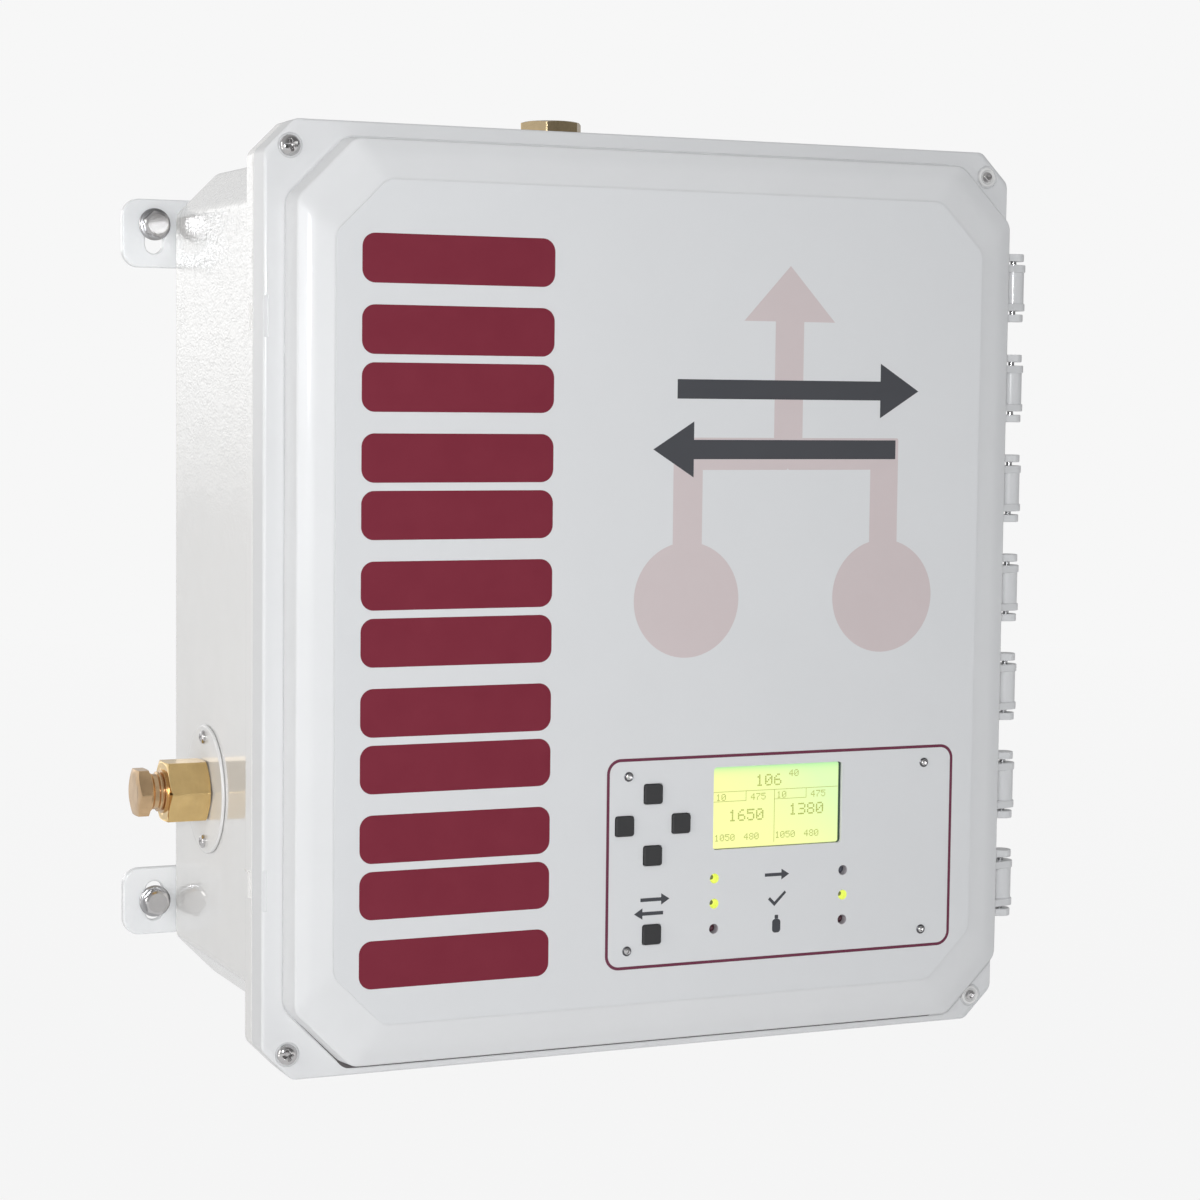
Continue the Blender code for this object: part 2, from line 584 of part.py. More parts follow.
def build_lid(material):
    """The moulded lid, with its pillow, seal groove, screw holes, control openings and hinge barrels."""
    edge = LID_EDGE_RADIUS * (1 - math.sqrt(0.5))
    step_front = LEDGE_Y - STEP_HEIGHT
    rings = [
        FACE.ring(FACE_Y),
        PILLOW.grown(-STEP_DRAFT - STEP_RADIUS).ring(step_front - STEP_RADIUS / 4),
        PILLOW.grown(-STEP_DRAFT).ring(step_front + STEP_RADIUS / 3),
        PILLOW.grown(-STEP_DRAFT / 2).ring(step_front + STEP_RADIUS),
        PILLOW.ring(LEDGE_Y - STEP_DRAFT),
        PILLOW.grown(STEP_DRAFT).ring(LEDGE_Y),
        LID.grown(-LID_EDGE_RADIUS).ring(LEDGE_Y),
        LID.grown(-edge).ring(LEDGE_Y + edge),
        LID.ring(LEDGE_Y + LID_EDGE_RADIUS),
        LID.ring(LID_BACK_Y),
        GROOVE.ring(LID_BACK_Y),
        GROOVE.ring(GROOVE_FLOOR_Y),
        GROOVE.grown(-GROOVE_WIDTH).ring(GROOVE_FLOOR_Y),
        GROOVE.grown(-GROOVE_WIDTH).ring(RIB_END_Y),
        POCKET.ring(RIB_END_Y),
        POCKET.ring(step_front + LID_WALL + STEP_RADIUS),
        POCKET.grown(-STEP_RADIUS).ring(step_front + LID_WALL),
        FACE.grown(-STEP_DRAFT).ring(FACE_INNER_Y),
    ]
    bm = bmesh.new()
    add_loft(bm, rings)
    lid = make_object("lid_shell", bm, material)

    bm = bmesh.new()
    root_x = LID.half_width - LID_LUG_ROOT
    near, far = LID_LUG_DEPTH
    outline = lug_outline(LID_LUG_RADIUS, [(root_x, SEAM_Y - far), (root_x, SEAM_Y - near)])
    for level in HINGE_LEVELS:
        add_lug(bm, outline, level + INNER_LUG)
        add_lug(bm, outline, level - INNER_LUG)
    for x in BOARD_COLUMNS:
        for z in BOARD_ROWS:
            add_turned(bm, [(BOSS_RADIUS, -LID_WALL / 2), (BOSS_RADIUS, BOARD_SPACE - SEAT_GAP)],
                       (x, FACE_INNER_Y, z), (0, 1, 0), SMALL_COUNT)
    combine(lid, bm, "UNION")
    bm = bmesh.new()
    for level in HINGE_LEVELS:
        add_turned(bm, [(BARREL_RADIUS, -INNER_LUG), (BARREL_RADIUS, INNER_LUG)],
                   (HINGE_X, SEAM_Y, level), (0, 0, 1), BARREL_COUNT)
    combine(lid, bm, "UNION")

    bm = bmesh.new()
    add_hinge_bore(bm)
    add_panel_openings(bm, FACE_Y - 1 * MM, FACE_INNER_Y + 1 * MM)
    hole = LID_SCREW_RADIUS + SCREW_GAP
    recess = LID_SCREW_HEAD_RADIUS + SCREW_GAP
    for x, z in lid_screw_places().values():
        add_turned(bm, [(hole, -1 * MM), (hole, LID_RIM_DEPTH - LID_SCREW_RECESS - SEAT_GAP),
                        (recess, LID_RIM_DEPTH - LID_SCREW_RECESS), (recess, LID_RIM_DEPTH + 1 * MM)],
                   (x, SEAM_Y, z), (0, -1, 0), SMALL_COUNT)
    notch_x, notch_y, notch_z = LATCH_NOTCH
    for sign in (-1, 1):
        add_box(bm, (-LID.half_width - 1 * MM, LEDGE_Y - 1 * MM, sign * LATCH_HEIGHT - notch_z / 2),
                (-LID.half_width + notch_x - 2 * MM, LEDGE_Y + notch_y, sign * LATCH_HEIGHT + notch_z / 2))
    combine(lid, bm)
    shade_round(lid)


def build_overlay(material):
    """The printed film on the flat face, with its openings."""
    sheet = FACE.grown(-OVERLAY_MARGIN)
    bm = bmesh.new()
    add_loft(bm, [sheet.ring(OVERLAY_BACK_Y), sheet.ring(OVERLAY_FRONT_Y)])
    overlay = make_object("front_overlay", bm, material)
    bm = bmesh.new()
    add_panel_openings(bm, OVERLAY_FRONT_Y - 1 * MM, OVERLAY_BACK_Y + 1 * MM)
    combine(overlay, bm)


def build_gasket(material):
    """The foam seal in the groove of the lid."""
    outer = GROOVE.grown(-SEAT_GAP)
    inner = GROOVE.grown(-GROOVE_WIDTH + SEAT_GAP)
    bm = bmesh.new()
    add_loft(bm, [outer.ring(GASKET_FRONT_Y), outer.ring(GASKET_BACK_Y), inner.ring(GASKET_BACK_Y),
                  inner.ring(GASKET_FRONT_Y)], closed=True)
    make_object("lid_gasket", bm, material)


def build_hinge_pins(material):
    """One pin for each hinge station."""
    length = STATION_HEIGHT - 2 * SEAT_GAP
    bm = bmesh.new()
    add_turned(bm, [(HINGE_PIN_RADIUS, -length / 2), (HINGE_PIN_RADIUS, length / 2)], (0, 0, 0), (0, 0, 1),
               SMALL_COUNT)
    first = make_object("hinge_pin_1", bm, material)
    shade_round(first)
    first.location = (HINGE_X, SEAM_Y, HINGE_LEVELS[0])
    for index, level in enumerate(HINGE_LEVELS[1:], 2):
        copy_of(first, f"hinge_pin_{index}", Matrix.Translation((HINGE_X, SEAM_Y, level)))


def build_lid_screws(material):
    """The corner screws, with domed heads."""
    head, top = LID_SCREW_HEAD_RADIUS, LID_SCREW_HEAD_HEIGHT
    seat = LID_RIM_DEPTH - LID_SCREW_RECESS + SEAT_GAP
    profile = [(LID_SCREW_RADIUS, -LID_SCREW_REACH), (LID_SCREW_RADIUS, seat), (head, seat),
               (head, seat + top * 0.35), (head * 0.86, seat + top * 0.75), (head * 0.5, seat + top)]
    bm = bmesh.new()
    add_turned(bm, profile, (0, 0, 0), (0, -1, 0), BARREL_COUNT)
    first = None
    for name, (x, z) in lid_screw_places().items():
        place = Matrix.Translation((x, SEAM_Y, z))
        if first is None:
            first = make_object("lid_screw_" + name, bm, material)
            shade_round(first)
            first.matrix_world = place
        else:
            copy_of(first, "lid_screw_" + name, place)


def build_feet(foot_material, bolt_material):
    """The four mounting feet and the bolt in each."""
    bm = bmesh.new()
    outline = rounded_rectangle(FOOT_WIDTH, FOOT_HEIGHT, FOOT_CORNER_RADIUS)
    add_prism(bm, outline, (0, 0, 0), (0, -1, 0), FOOT_THICKNESS, FOOT_EDGE_RADIUS)
    foot = make_object("foot_top_left", bm, foot_material)
    bm = bmesh.new()
    slot = rounded_rectangle(SLOT_WIDTH, SLOT_LENGTH, SLOT_WIDTH / 2 - 0.01 * MM)
    slot_x = -FOOT_WIDTH / 2 + SLOT_FROM_EDGE
    add_prism(bm, slot, (slot_x, 1 * MM, 0), (0, -1, 0), FOOT_THICKNESS + 2 * MM)
    combine(foot, bm)

    bm = bmesh.new()
    seat = FOOT_THICKNESS + SEAT_GAP
    add_turned(bm, [(BOLT_RADIUS, 0), (BOLT_RADIUS, seat), (WASHER_RADIUS, seat),
                    (WASHER_RADIUS, seat + WASHER_THICKNESS)], (0, 0, 0), (0, -1, 0), 16)
    bolt = make_object("wall_bolt_top_left", bm, bolt_material)
    bm = bmesh.new()
    add_prism(bm, hexagon(BOLT_HEAD_FLATS, math.pi / 6), (0, -seat, 0), (0, -1, 0),
              WASHER_THICKNESS + BOLT_HEAD_HEIGHT, 0.6 * MM)
    combine(bolt, bm, "UNION")
    shade_round(bolt)

    middle_x = BODY.half_width + FOOT_REACH - FOOT_WIDTH / 2
    bolt_x = BODY.half_width + FOOT_REACH - SLOT_FROM_EDGE
    for level, sz in LEVELS.items():
        for side, sx in SIDES.items():
            flip = Matrix.Rotation(math.pi, 4, "Y") if sx > 0 else Matrix.Identity(4)
            foot_place = Matrix.Translation((sx * middle_x, 0, sz * FOOT_LEVEL)) @ flip
            drop = SLOT_DROP if sz > 0 else 0
            bolt_place = Matrix.Translation((sx * bolt_x, 0, sz * FOOT_LEVEL + drop))
            if (level, side) == ("top", "left"):
                foot.matrix_world = foot_place
                bolt.matrix_world = bolt_place
            else:
                copy_of(foot, f"foot_{level}_{side}", foot_place)
                copy_of(bolt, f"wall_bolt_{level}_{side}", bolt_place)


def hex_blank(name, flats, length, material):
    """A hexagon along +Z with the turned chamfers of bar stock at both ends."""
    bm = bmesh.new()
    add_prism(bm, hexagon(flats), (0, 0, 0), (0, 0, 1), length)
    blank = make_object(name, bm, material)
    corner = flats / math.sqrt(3)
    bm = bmesh.new()
    add_turned(bm, [(corner - HEX_CHAMFER, 0), (corner + 0.1 * MM, HEX_CHAMFER * 0.65),
                    (corner + 0.1 * MM, length - HEX_CHAMFER * 0.65), (corner - HEX_CHAMFER, length)],
               (0, 0, 0), (0, 0, 1), 12)
    combine(blank, bm, "INTERSECT")
    return blank


def build_fitting(name, hex_length, material):
    """A bulkhead fitting along +Z from the wall it sits on, with a threaded socket in its end."""
    fitting = hex_blank(name, FITTING_FLATS, hex_length, material)
    bm = bmesh.new()
    add_turned(bm, [(FITTING_SHANK_RADIUS, -FITTING_SHANK_LENGTH), (FITTING_SHANK_RADIUS, 1 * MM)],
               (0, 0, 0), (0, 0, 1))
    combine(fitting, bm, "UNION")
    bm = bmesh.new()
    add_turned(bm, [(FITTING_BORE_RADIUS, -FITTING_BORE_DEPTH), (FITTING_BORE_RADIUS, 1 * MM)],
               (0, 0, hex_length), (0, 0, 1), ROUND_COUNT)
    combine(fitting, bm)
    shade_round(fitting)
    return fitting


def build_plug(name, material):
    """The hex plug of an inlet, along +Z from the end of its fitting."""
    plug = hex_blank(name, PLUG_FLATS, PLUG_HEX_LENGTH, material)
    plug.data.transform(Matrix.Translation((0, 0, PLUG_NECK_LENGTH)))
    shank = FITTING_BORE_RADIUS - HOLE_GAP
    bm = bmesh.new()
    add_turned(bm, [(shank, -PLUG_SHANK_LENGTH), (shank, 0), (PLUG_COLLAR_RADIUS, 0),
                    (PLUG_COLLAR_RADIUS, PLUG_NECK_LENGTH * 0.25), (PLUG_NECK_RADIUS, PLUG_NECK_LENGTH * 0.5),
                    (PLUG_NECK_RADIUS, PLUG_NECK_LENGTH + 0.5 * MM)], (0, 0, 0), (0, 0, 1), 20)
    combine(plug, bm, "UNION")
    shade_round(plug)
    return plug


def build_ports(brass, cover):
    """The two inlets with their cover discs and plugs, and the outlet on the top."""
    bm = bmesh.new()
    hole = FITTING_SHANK_RADIUS + HOLE_GAP
    add_turned(bm, [(hole, 0), (DISC_RADIUS, 0), (DISC_RADIUS, DISC_THICKNESS - DISC_RIM),
                    (DISC_RADIUS - DISC_RIM, DISC_THICKNESS), (hole, DISC_THICKNESS)],
               (0, 0, 0), (0, 0, 1), DISC_COUNT, closed=True)
    disc = make_object("inlet_cover_left", bm, cover)
    shade_round(disc)
    inlet = build_fitting("inlet_fitting_left", INLET_HEX_LENGTH, brass)
    plug = build_plug("inlet_plug_left", brass)
    disc_x = BODY.half_width + SEAT_GAP
    fitting_x = disc_x + DISC_THICKNESS + SEAT_GAP
    plug_x = fitting_x + INLET_HEX_LENGTH + SEAT_GAP
    for side, sx in SIDES.items():
        turn = Matrix.Rotation(sx * math.pi / 2, 4, "Y") @ Matrix.Rotation(math.pi / 2, 4, "Z")
        for piece, stem, x in ((disc, "inlet_cover_", disc_x), (inlet, "inlet_fitting_", fitting_x),
                               (plug, "inlet_plug_", plug_x)):
            place = Matrix.Translation((sx * x, PORT_Y, INLET_LEVEL)) @ turn
            if side == "left":
                piece.matrix_world = place
            else:
                copy_of(piece, stem + side, place)
    outlet = build_fitting("outlet_fitting", OUTLET_HEX_LENGTH, brass)
    outlet.location = (0, PORT_Y, BODY.half_height + SEAT_GAP)


def build_mounting_plate(material):
    """The steel plate that carries the gas train and the electrics."""
    bm = bmesh.new()
    add_loft(bm, [PANEL.ring(PANEL_BACK_Y), PANEL.ring(PANEL_FRONT_Y)])
    panel = make_object("mounting_plate", bm, material)
    bm = bmesh.new()
    for x, z in standoff_places():
        add_turned(bm, [(PANEL_HOLE_RADIUS, -1 * MM), (PANEL_HOLE_RADIUS, PANEL_THICKNESS + 1 * MM)],
                   (x, PANEL_BACK_Y, z), (0, -1, 0), SMALL_COUNT)
    combine(panel, bm)


def add_block(bm, centre, size, edge=BLOCK_EDGE):
    """A box with bevelled edges."""
    box = bmesh.new()
    add_box(box, Vector(centre) - Vector(size) / 2, Vector(centre) + Vector(size) / 2)
    bmesh.ops.bevel(box, geom=box.edges[:], offset=edge, segments=1, affect="EDGES")
    mesh = bpy.data.meshes.new("block")
    box.to_mesh(mesh)
    box.free()
    bm.from_mesh(mesh)
    bpy.data.meshes.remove(mesh)


def build_bank(side, sx, materials):
    """One gas bank: the inlet block with its filter cap, the valve, its coil and the pressure sensor."""
    half = BLOCK_SIZE / 2
    block_x = sx * INLET_BLOCK_X
    bm = bmesh.new()
    add_block(bm, (block_x, PORT_Y, INLET_LEVEL), (INLET_BLOCK_LENGTH, BLOCK_SIZE, BLOCK_SIZE))
    block = make_object("inlet_block_" + side, bm, materials["brass"])
    bm = bmesh.new()
    add_prism(bm, hexagon(CAP_FLATS), (block_x, PORT_Y - half + 1 * MM, INLET_LEVEL), (0, -1, 0),
              CAP_LENGTH + 1 * MM, HEX_CHAMFER)
    combine(block, bm, "UNION")
    bm = bmesh.new()
    wall = sx * (INLET_BLOCK_X + INLET_BLOCK_LENGTH / 2)
    reach = FITTING_SHANK_LENGTH - BODY_WALL
    add_turned(bm, [(FITTING_SHANK_RADIUS + HOLE_GAP, -1 * MM), (FITTING_SHANK_RADIUS + HOLE_GAP, reach)],
               (wall, PORT_Y, INLET_LEVEL), (-sx, 0, 0), 16)
    combine(block, bm)

    valve_x = sx * VALVE_X
    stem_y = PORT_Y - half
    bm = bmesh.new()
    add_block(bm, (valve_x, PORT_Y, INLET_LEVEL), (VALVE_LENGTH, BLOCK_SIZE, BLOCK_SIZE))
    valve = make_object("shutoff_valve_" + side, bm, materials["brass"])
    bm = bmesh.new()
    add_turned(bm, [(VALVE_STEM_RADIUS, -1 * MM), (VALVE_STEM_RADIUS, VALVE_STEM_LENGTH)],
               (valve_x, stem_y, INLET_LEVEL), (0, -1, 0), SMALL_COUNT)
    combine(valve, bm, "UNION")

    width, depth, height = COIL_SIZE
    coil_y = stem_y - SEAT_GAP - depth / 2
    bm = bmesh.new()
    add_block(bm, (valve_x, coil_y, INLET_LEVEL), COIL_SIZE, COIL_EDGE)
    coil = make_object("solenoid_coil_" + side, bm, materials["black"])
    bm = bmesh.new()
    socket = (valve_x, coil_y, INLET_LEVEL + height / 2 + CONNECTOR_SIZE[2] / 2 - 1 * MM)
    add_block(bm, socket, CONNECTOR_SIZE)
    combine(coil, bm, "UNION")
    bm = bmesh.new()
    stem_hole = VALVE_STEM_RADIUS + HOLE_GAP
    add_turned(bm, [(stem_hole, -1 * MM), (stem_hole, VALVE_STEM_LENGTH + SEAT_GAP)],
               (valve_x, stem_y, INLET_LEVEL), (0, -1, 0), SMALL_COUNT)
    combine(coil, bm)
    build_sensor("pressure_sensor_" + side, (block_x, PORT_Y, INLET_LEVEL + half + SEAT_GAP), (0, 0, 1),
                 materials["steel"])


def build_sensor(name, origin, axis, material):
    """A pressure sensor: a hex base, a round case and a stepped connector."""
    bm = bmesh.new()
    radius, plug, length = SENSOR_RADIUS, SENSOR_PLUG_RADIUS, SENSOR_LENGTH
    add_turned(bm, [(radius, SENSOR_HEX_LENGTH - 1 * MM), (radius, length * 0.62), (radius * 0.8, length * 0.66),
                    (plug, length * 0.68), (plug, length)],
               origin, axis, 12)
    sensor = make_object(name, bm, material)
    bm = bmesh.new()
    add_prism(bm, hexagon(SENSOR_HEX_FLATS), origin, axis, SENSOR_HEX_LENGTH)
    combine(sensor, bm, "UNION")
    shade_round(sensor)


def build_pipe(name, start, end, material):
    """A straight pipe between two flat faces, with a nut at each end."""
    start, end = Vector(start), Vector(end)
    axis = (end - start).normalized()
    start, end = start + axis * SEAT_GAP, end - axis * SEAT_GAP
    bm = bmesh.new()
    add_turned(bm, [(PIPE_RADIUS, 0), (PIPE_RADIUS, (end - start).length)], start, axis, SMALL_COUNT)
    pipe = make_object(name, bm, material)
    bm = bmesh.new()
    add_prism(bm, hexagon(PIPE_NUT_FLATS), start, axis, PIPE_NUT_LENGTH, HEX_CHAMFER)
    add_prism(bm, hexagon(PIPE_NUT_FLATS), end, -axis, PIPE_NUT_LENGTH, HEX_CHAMFER)
    combine(pipe, bm, "UNION")
    shade_round(pipe)


def build_regulator(materials):
    """The line pressure regulator on the mounting plate, and its adjusting knob."""
    body_front = PORT_Y - REGULATOR_BODY_DEPTH / 2
    body_back = PORT_Y + REGULATOR_BODY_DEPTH / 2
    bonnet_front = body_front - BONNET_LENGTH
    profile = [(REGULATOR_RADIUS * 0.45, -ON_PANEL_Y), (REGULATOR_RADIUS * 0.45, -body_back),
               (REGULATOR_RADIUS - 2 * MM, -body_back), (REGULATOR_RADIUS, 2 * MM - body_back),
               (REGULATOR_RADIUS, -2 * MM - body_front), (REGULATOR_RADIUS - 2 * MM, -body_front),
               (BONNET_RADIUS, -body_front), (BONNET_RADIUS - 3 * MM, -2 * MM - bonnet_front),
               (BONNET_RADIUS - 6 * MM, -bonnet_front), (STEM_RADIUS, -bonnet_front),
               (STEM_RADIUS, STEM_LENGTH - bonnet_front)]
    bm = bmesh.new()
    add_turned(bm, profile, (0, 0, REGULATOR_LEVEL), (0, -1, 0))
    regulator = make_object("line_regulator", bm, materials["brass"])
    bm = bmesh.new()
    low = (0, PORT_Y, REGULATOR_LEVEL - REGULATOR_PORT_REACH)
    add_prism(bm, hexagon(PIPE_NUT_FLATS + 5 * MM), low, (0, 0, 1), 2 * REGULATOR_PORT_REACH)
    combine(regulator, bm, "UNION")
    shade_round(regulator)

    bm = bmesh.new()
    add_turned(bm, [(KNOB_RADIUS, 0), (KNOB_RADIUS, KNOB_LENGTH - 2 * MM),
                    (KNOB_RADIUS - 2 * MM, KNOB_LENGTH)], (0, 0, 0), (0, -1, 0), KNOB_COUNT)
    knob = make_object("regulator_knob", bm, materials["black"])
    bm = bmesh.new()
    for flute in range(KNOB_FLUTE_COUNT):
        angle = 2 * math.pi * flute / KNOB_FLUTE_COUNT
        place = Vector((math.cos(angle), 0, math.sin(angle))) * (KNOB_RADIUS + FLUTE_RADIUS * 0.4)
        add_turned(bm, [(FLUTE_RADIUS, 3 * MM), (FLUTE_RADIUS, KNOB_LENGTH + 1 * MM)], place, (0, -1, 0),
                   BORE_COUNT)
    stem_hole = STEM_RADIUS + HOLE_GAP
    add_turned(bm, [(stem_hole, -1 * MM), (stem_hole, STEM_LENGTH)], (0, 0, 0), (0, -1, 0), ROUND_COUNT)
    combine(knob, bm)
    shade_round(knob)
    knob.location = (0, bonnet_front - SEAT_GAP, REGULATOR_LEVEL)


def build_gas_train(materials):
    """Both banks, the tee between them, the regulator and the pipes up to the outlet."""
    for side, sx in SIDES.items():
        build_bank(side, sx, materials)
    bm = bmesh.new()
    add_block(bm, (0, PORT_Y, INLET_LEVEL), (TEE_LENGTH, BLOCK_SIZE, BLOCK_SIZE))
    make_object("outlet_tee", bm, materials["brass"])
    half = BLOCK_SIZE / 2
    build_sensor("pressure_sensor_outlet", (0, PORT_Y, INLET_LEVEL - half - SEAT_GAP), (0, 0, -1),
                 materials["steel"])
    build_regulator(materials)
    for side, sx in SIDES.items():
        valve_end = sx * (VALVE_X - VALVE_LENGTH / 2)
        build_pipe(f"bank_pipe_{side}", (valve_end, PORT_Y, INLET_LEVEL),
                   (sx * TEE_LENGTH / 2, PORT_Y, INLET_LEVEL), materials["copper"])
    build_pipe("riser_pipe", (0, PORT_Y, INLET_LEVEL + half),
               (0, PORT_Y, REGULATOR_LEVEL - REGULATOR_PORT_REACH), materials["copper"])
    shank_end = BODY.half_height + SEAT_GAP - FITTING_SHANK_LENGTH
    build_pipe("outlet_pipe", (0, PORT_Y, REGULATOR_LEVEL + REGULATOR_PORT_REACH), (0, PORT_Y, shank_end),
               materials["copper"])


def build_electrics(materials):
    """The power supply and the terminal block on the mounting plate."""
    width, depth, height = SUPPLY_SIZE
    x = SUPPLY_INSET[0] + width / 2 - PANEL.half_width
    z = PANEL.half_height - SUPPLY_INSET[1] - height / 2
    bm = bmesh.new()
    add_block(bm, (x, ON_PANEL_Y - depth / 2, z), SUPPLY_SIZE)
    supply = make_object("power_supply", bm, materials["aluminium"])
    bm = bmesh.new()
    slot_x, slot_y, slot_z = SUPPLY_SLOT
    front = ON_PANEL_Y - depth
    pitch = width / (SUPPLY_SLOT_COUNT + 1)
    for index in range(SUPPLY_SLOT_COUNT):
        middle = x - width / 2 + pitch * (index + 1)
        add_box(bm, (middle - slot_x / 2, front - slot_y, z - slot_z / 2),
                (middle + slot_x / 2, front + slot_y, z + slot_z / 2))
    combine(supply, bm)

    rail_x, rail_y, rail_z = RAIL_SIZE
    block_y, block_z = TERMINAL_SIZE
    x = PANEL.half_width - TERMINAL_INSET[0] - rail_x / 2
    z = PANEL.half_height - TERMINAL_INSET[1] - block_z / 2
    bm = bmesh.new()
    add_box(bm, (x - rail_x / 2, ON_PANEL_Y - rail_y, z - rail_z / 2),
            (x + rail_x / 2, ON_PANEL_Y, z + rail_z / 2))
    terminals = make_object("terminal_block", bm, materials["pale"])
    bm = bmesh.new()
    for index in range(TERMINAL_COUNT):
        middle = x + (index - (TERMINAL_COUNT - 1) / 2) * TERMINAL_PITCH
        add_box(bm, (middle - TERMINAL_WIDTH / 2, ON_PANEL_Y - block_y, z - block_z / 2),
                (middle + TERMINAL_WIDTH / 2, ON_PANEL_Y - rail_y / 2, z + block_z / 2))
    combine(terminals, bm, "UNION")


def build_keys(material):
    """The five square keys, each held behind the lid by its flange."""
    inner_y = FACE_INNER_Y + SEAT_GAP
    front_y = OVERLAY_FRONT_Y - KEY_PROUD
    stem_end = BOARD_FRONT_Y - SWITCH_HEIGHT - KEY_TRAVEL - SEAT_GAP
    bm = bmesh.new()
    cap = rounded_rectangle(KEY_SIZE, KEY_SIZE, KEY_CORNER_RADIUS, 2)
    base_y = inner_y + KEY_FLANGE_THICKNESS / 2
    add_prism(bm, cap, (0, base_y, 0), (0, -1, 0), base_y - front_y, 0.4 * MM)
    key = make_object("key_up", bm, material)
    bm = bmesh.new()
    flange = KEY_SIZE / 2 + KEY_FLANGE
    add_box(bm, (-flange, inner_y, -flange), (flange, inner_y + KEY_FLANGE_THICKNESS, flange))
    combine(key, bm, "UNION")
    bm = bmesh.new()
    stem = KEY_STEM / 2
    add_box(bm, (-stem, inner_y + KEY_FLANGE_THICKNESS / 2, -stem), (stem, stem_end, stem))
    combine(key, bm, "UNION")
    for name, (x, z) in KEY_PLACES.items():
        place = Matrix.Translation((x, 0, z))
        if name == "up":
            key.matrix_world = place
        else:
            copy_of(key, "key_" + name, place)


def build_display(frame_material, glass_material):
    """The display cell in its window, and the metal frame round it behind the lid."""
    width, height = DISPLAY_SIZE
    x, z = DISPLAY_CENTRE
    glass_front = OVERLAY_FRONT_Y + DISPLAY_RECESS
    cell = rounded_rectangle(width - 2 * HOLE_GAP, height - 2 * HOLE_GAP, DISPLAY_CORNER_RADIUS)
    bm = bmesh.new()
    add_prism(bm, cell, (x, glass_front + DISPLAY_GLASS_THICKNESS, z), (0, -1, 0), DISPLAY_GLASS_THICKNESS)
    make_object("display_glass", bm, glass_material)
    back = FACE_INNER_Y + SEAT_GAP + DISPLAY_FRAME_DEPTH
    border = 2 * DISPLAY_FRAME_BORDER
    outline = rounded_rectangle(width + border, height + border, DISPLAY_CORNER_RADIUS)
    bm = bmesh.new()
    add_prism(bm, outline, (x, back, z), (0, -1, 0), DISPLAY_FRAME_DEPTH)
    frame = make_object("display_frame", bm, frame_material)
    opening = rounded_rectangle(width, height, DISPLAY_CORNER_RADIUS)
    pocket_floor = glass_front + DISPLAY_GLASS_THICKNESS + SEAT_GAP
    bm = bmesh.new()
    add_prism(bm, opening, (x, pocket_floor, z), (0, -1, 0), DISPLAY_FRAME_DEPTH + 2 * MM)
    combine(frame, bm)


def build_board(material):
    """The control board behind the lid, with a switch under each key."""
    (left, right), (top, bottom) = BOARD_COLUMNS, BOARD_ROWS
    centre = ((left + right) / 2, (top + bottom) / 2)
    outline = rounded_rectangle(right - left + 2 * BOARD_MARGIN, top - bottom + 2 * BOARD_MARGIN, 2 * MM)
    bm = bmesh.new()
    board_back_y = BOARD_FRONT_Y + BOARD_THICKNESS
    add_prism(bm, outline, (centre[0], board_back_y, centre[1]), (0, -1, 0), BOARD_THICKNESS)
    board = make_object("control_board", bm, material)
    bm = bmesh.new()
    half = SWITCH_SIZE / 2
    for x, z in KEY_PLACES.values():
        add_box(bm, (x - half, BOARD_FRONT_Y - SWITCH_HEIGHT, z - half),
                (x + half, BOARD_FRONT_Y + BOARD_THICKNESS / 2, z + half))
    combine(board, bm, "UNION")


def build_light_pipes(material):
    """A clear bar behind each column of lamps, with a domed pipe in each hole."""
    width, depth = LIGHT_BAR
    back_y = BOARD_FRONT_Y - SEAT_GAP
    tip = OVERLAY_FRONT_Y + LAMP_RECESS
    for side, x in zip(SIDES, LAMP_COLUMNS):
        low = LAMP_LEVELS[-1] - width / 2
        high = LAMP_LEVELS[0] + width / 2
        bm = bmesh.new()
        add_box(bm, (x - width / 2, back_y - depth, low), (x + width / 2, back_y, high))
        bar = make_object("light_pipe_" + side, bm, material)
        bm = bmesh.new()
        length = back_y - tip
        for z in LAMP_LEVELS:
            add_turned(bm, [(LAMP_RADIUS, depth / 2), (LAMP_RADIUS, length - LAMP_DOME),
                            (LAMP_RADIUS * 0.8, length - LAMP_DOME * 0.4), (LAMP_RADIUS * 0.35, length)],
                       (x, back_y, z), (0, -1, 0), SMALL_COUNT)
        combine(bar, bm, "UNION")
        shade_round(bar)


def hang_on(name, place, stems):
    """An empty on a joint's axis that carries every piece whose name starts with one of the stems."""
    empty = bpy.data.objects.new(name, None)
    empty.location = place
    empty.empty_display_size = AXIS_MARK_SIZE
    bpy.context.scene.collection.objects.link(empty)
    bpy.context.view_layer.update()
    for obj in bpy.context.scene.objects:
        if obj != empty and obj.name.startswith(stems):
            obj.parent = empty
            obj.matrix_parent_inverse = empty.matrix_world.inverted()


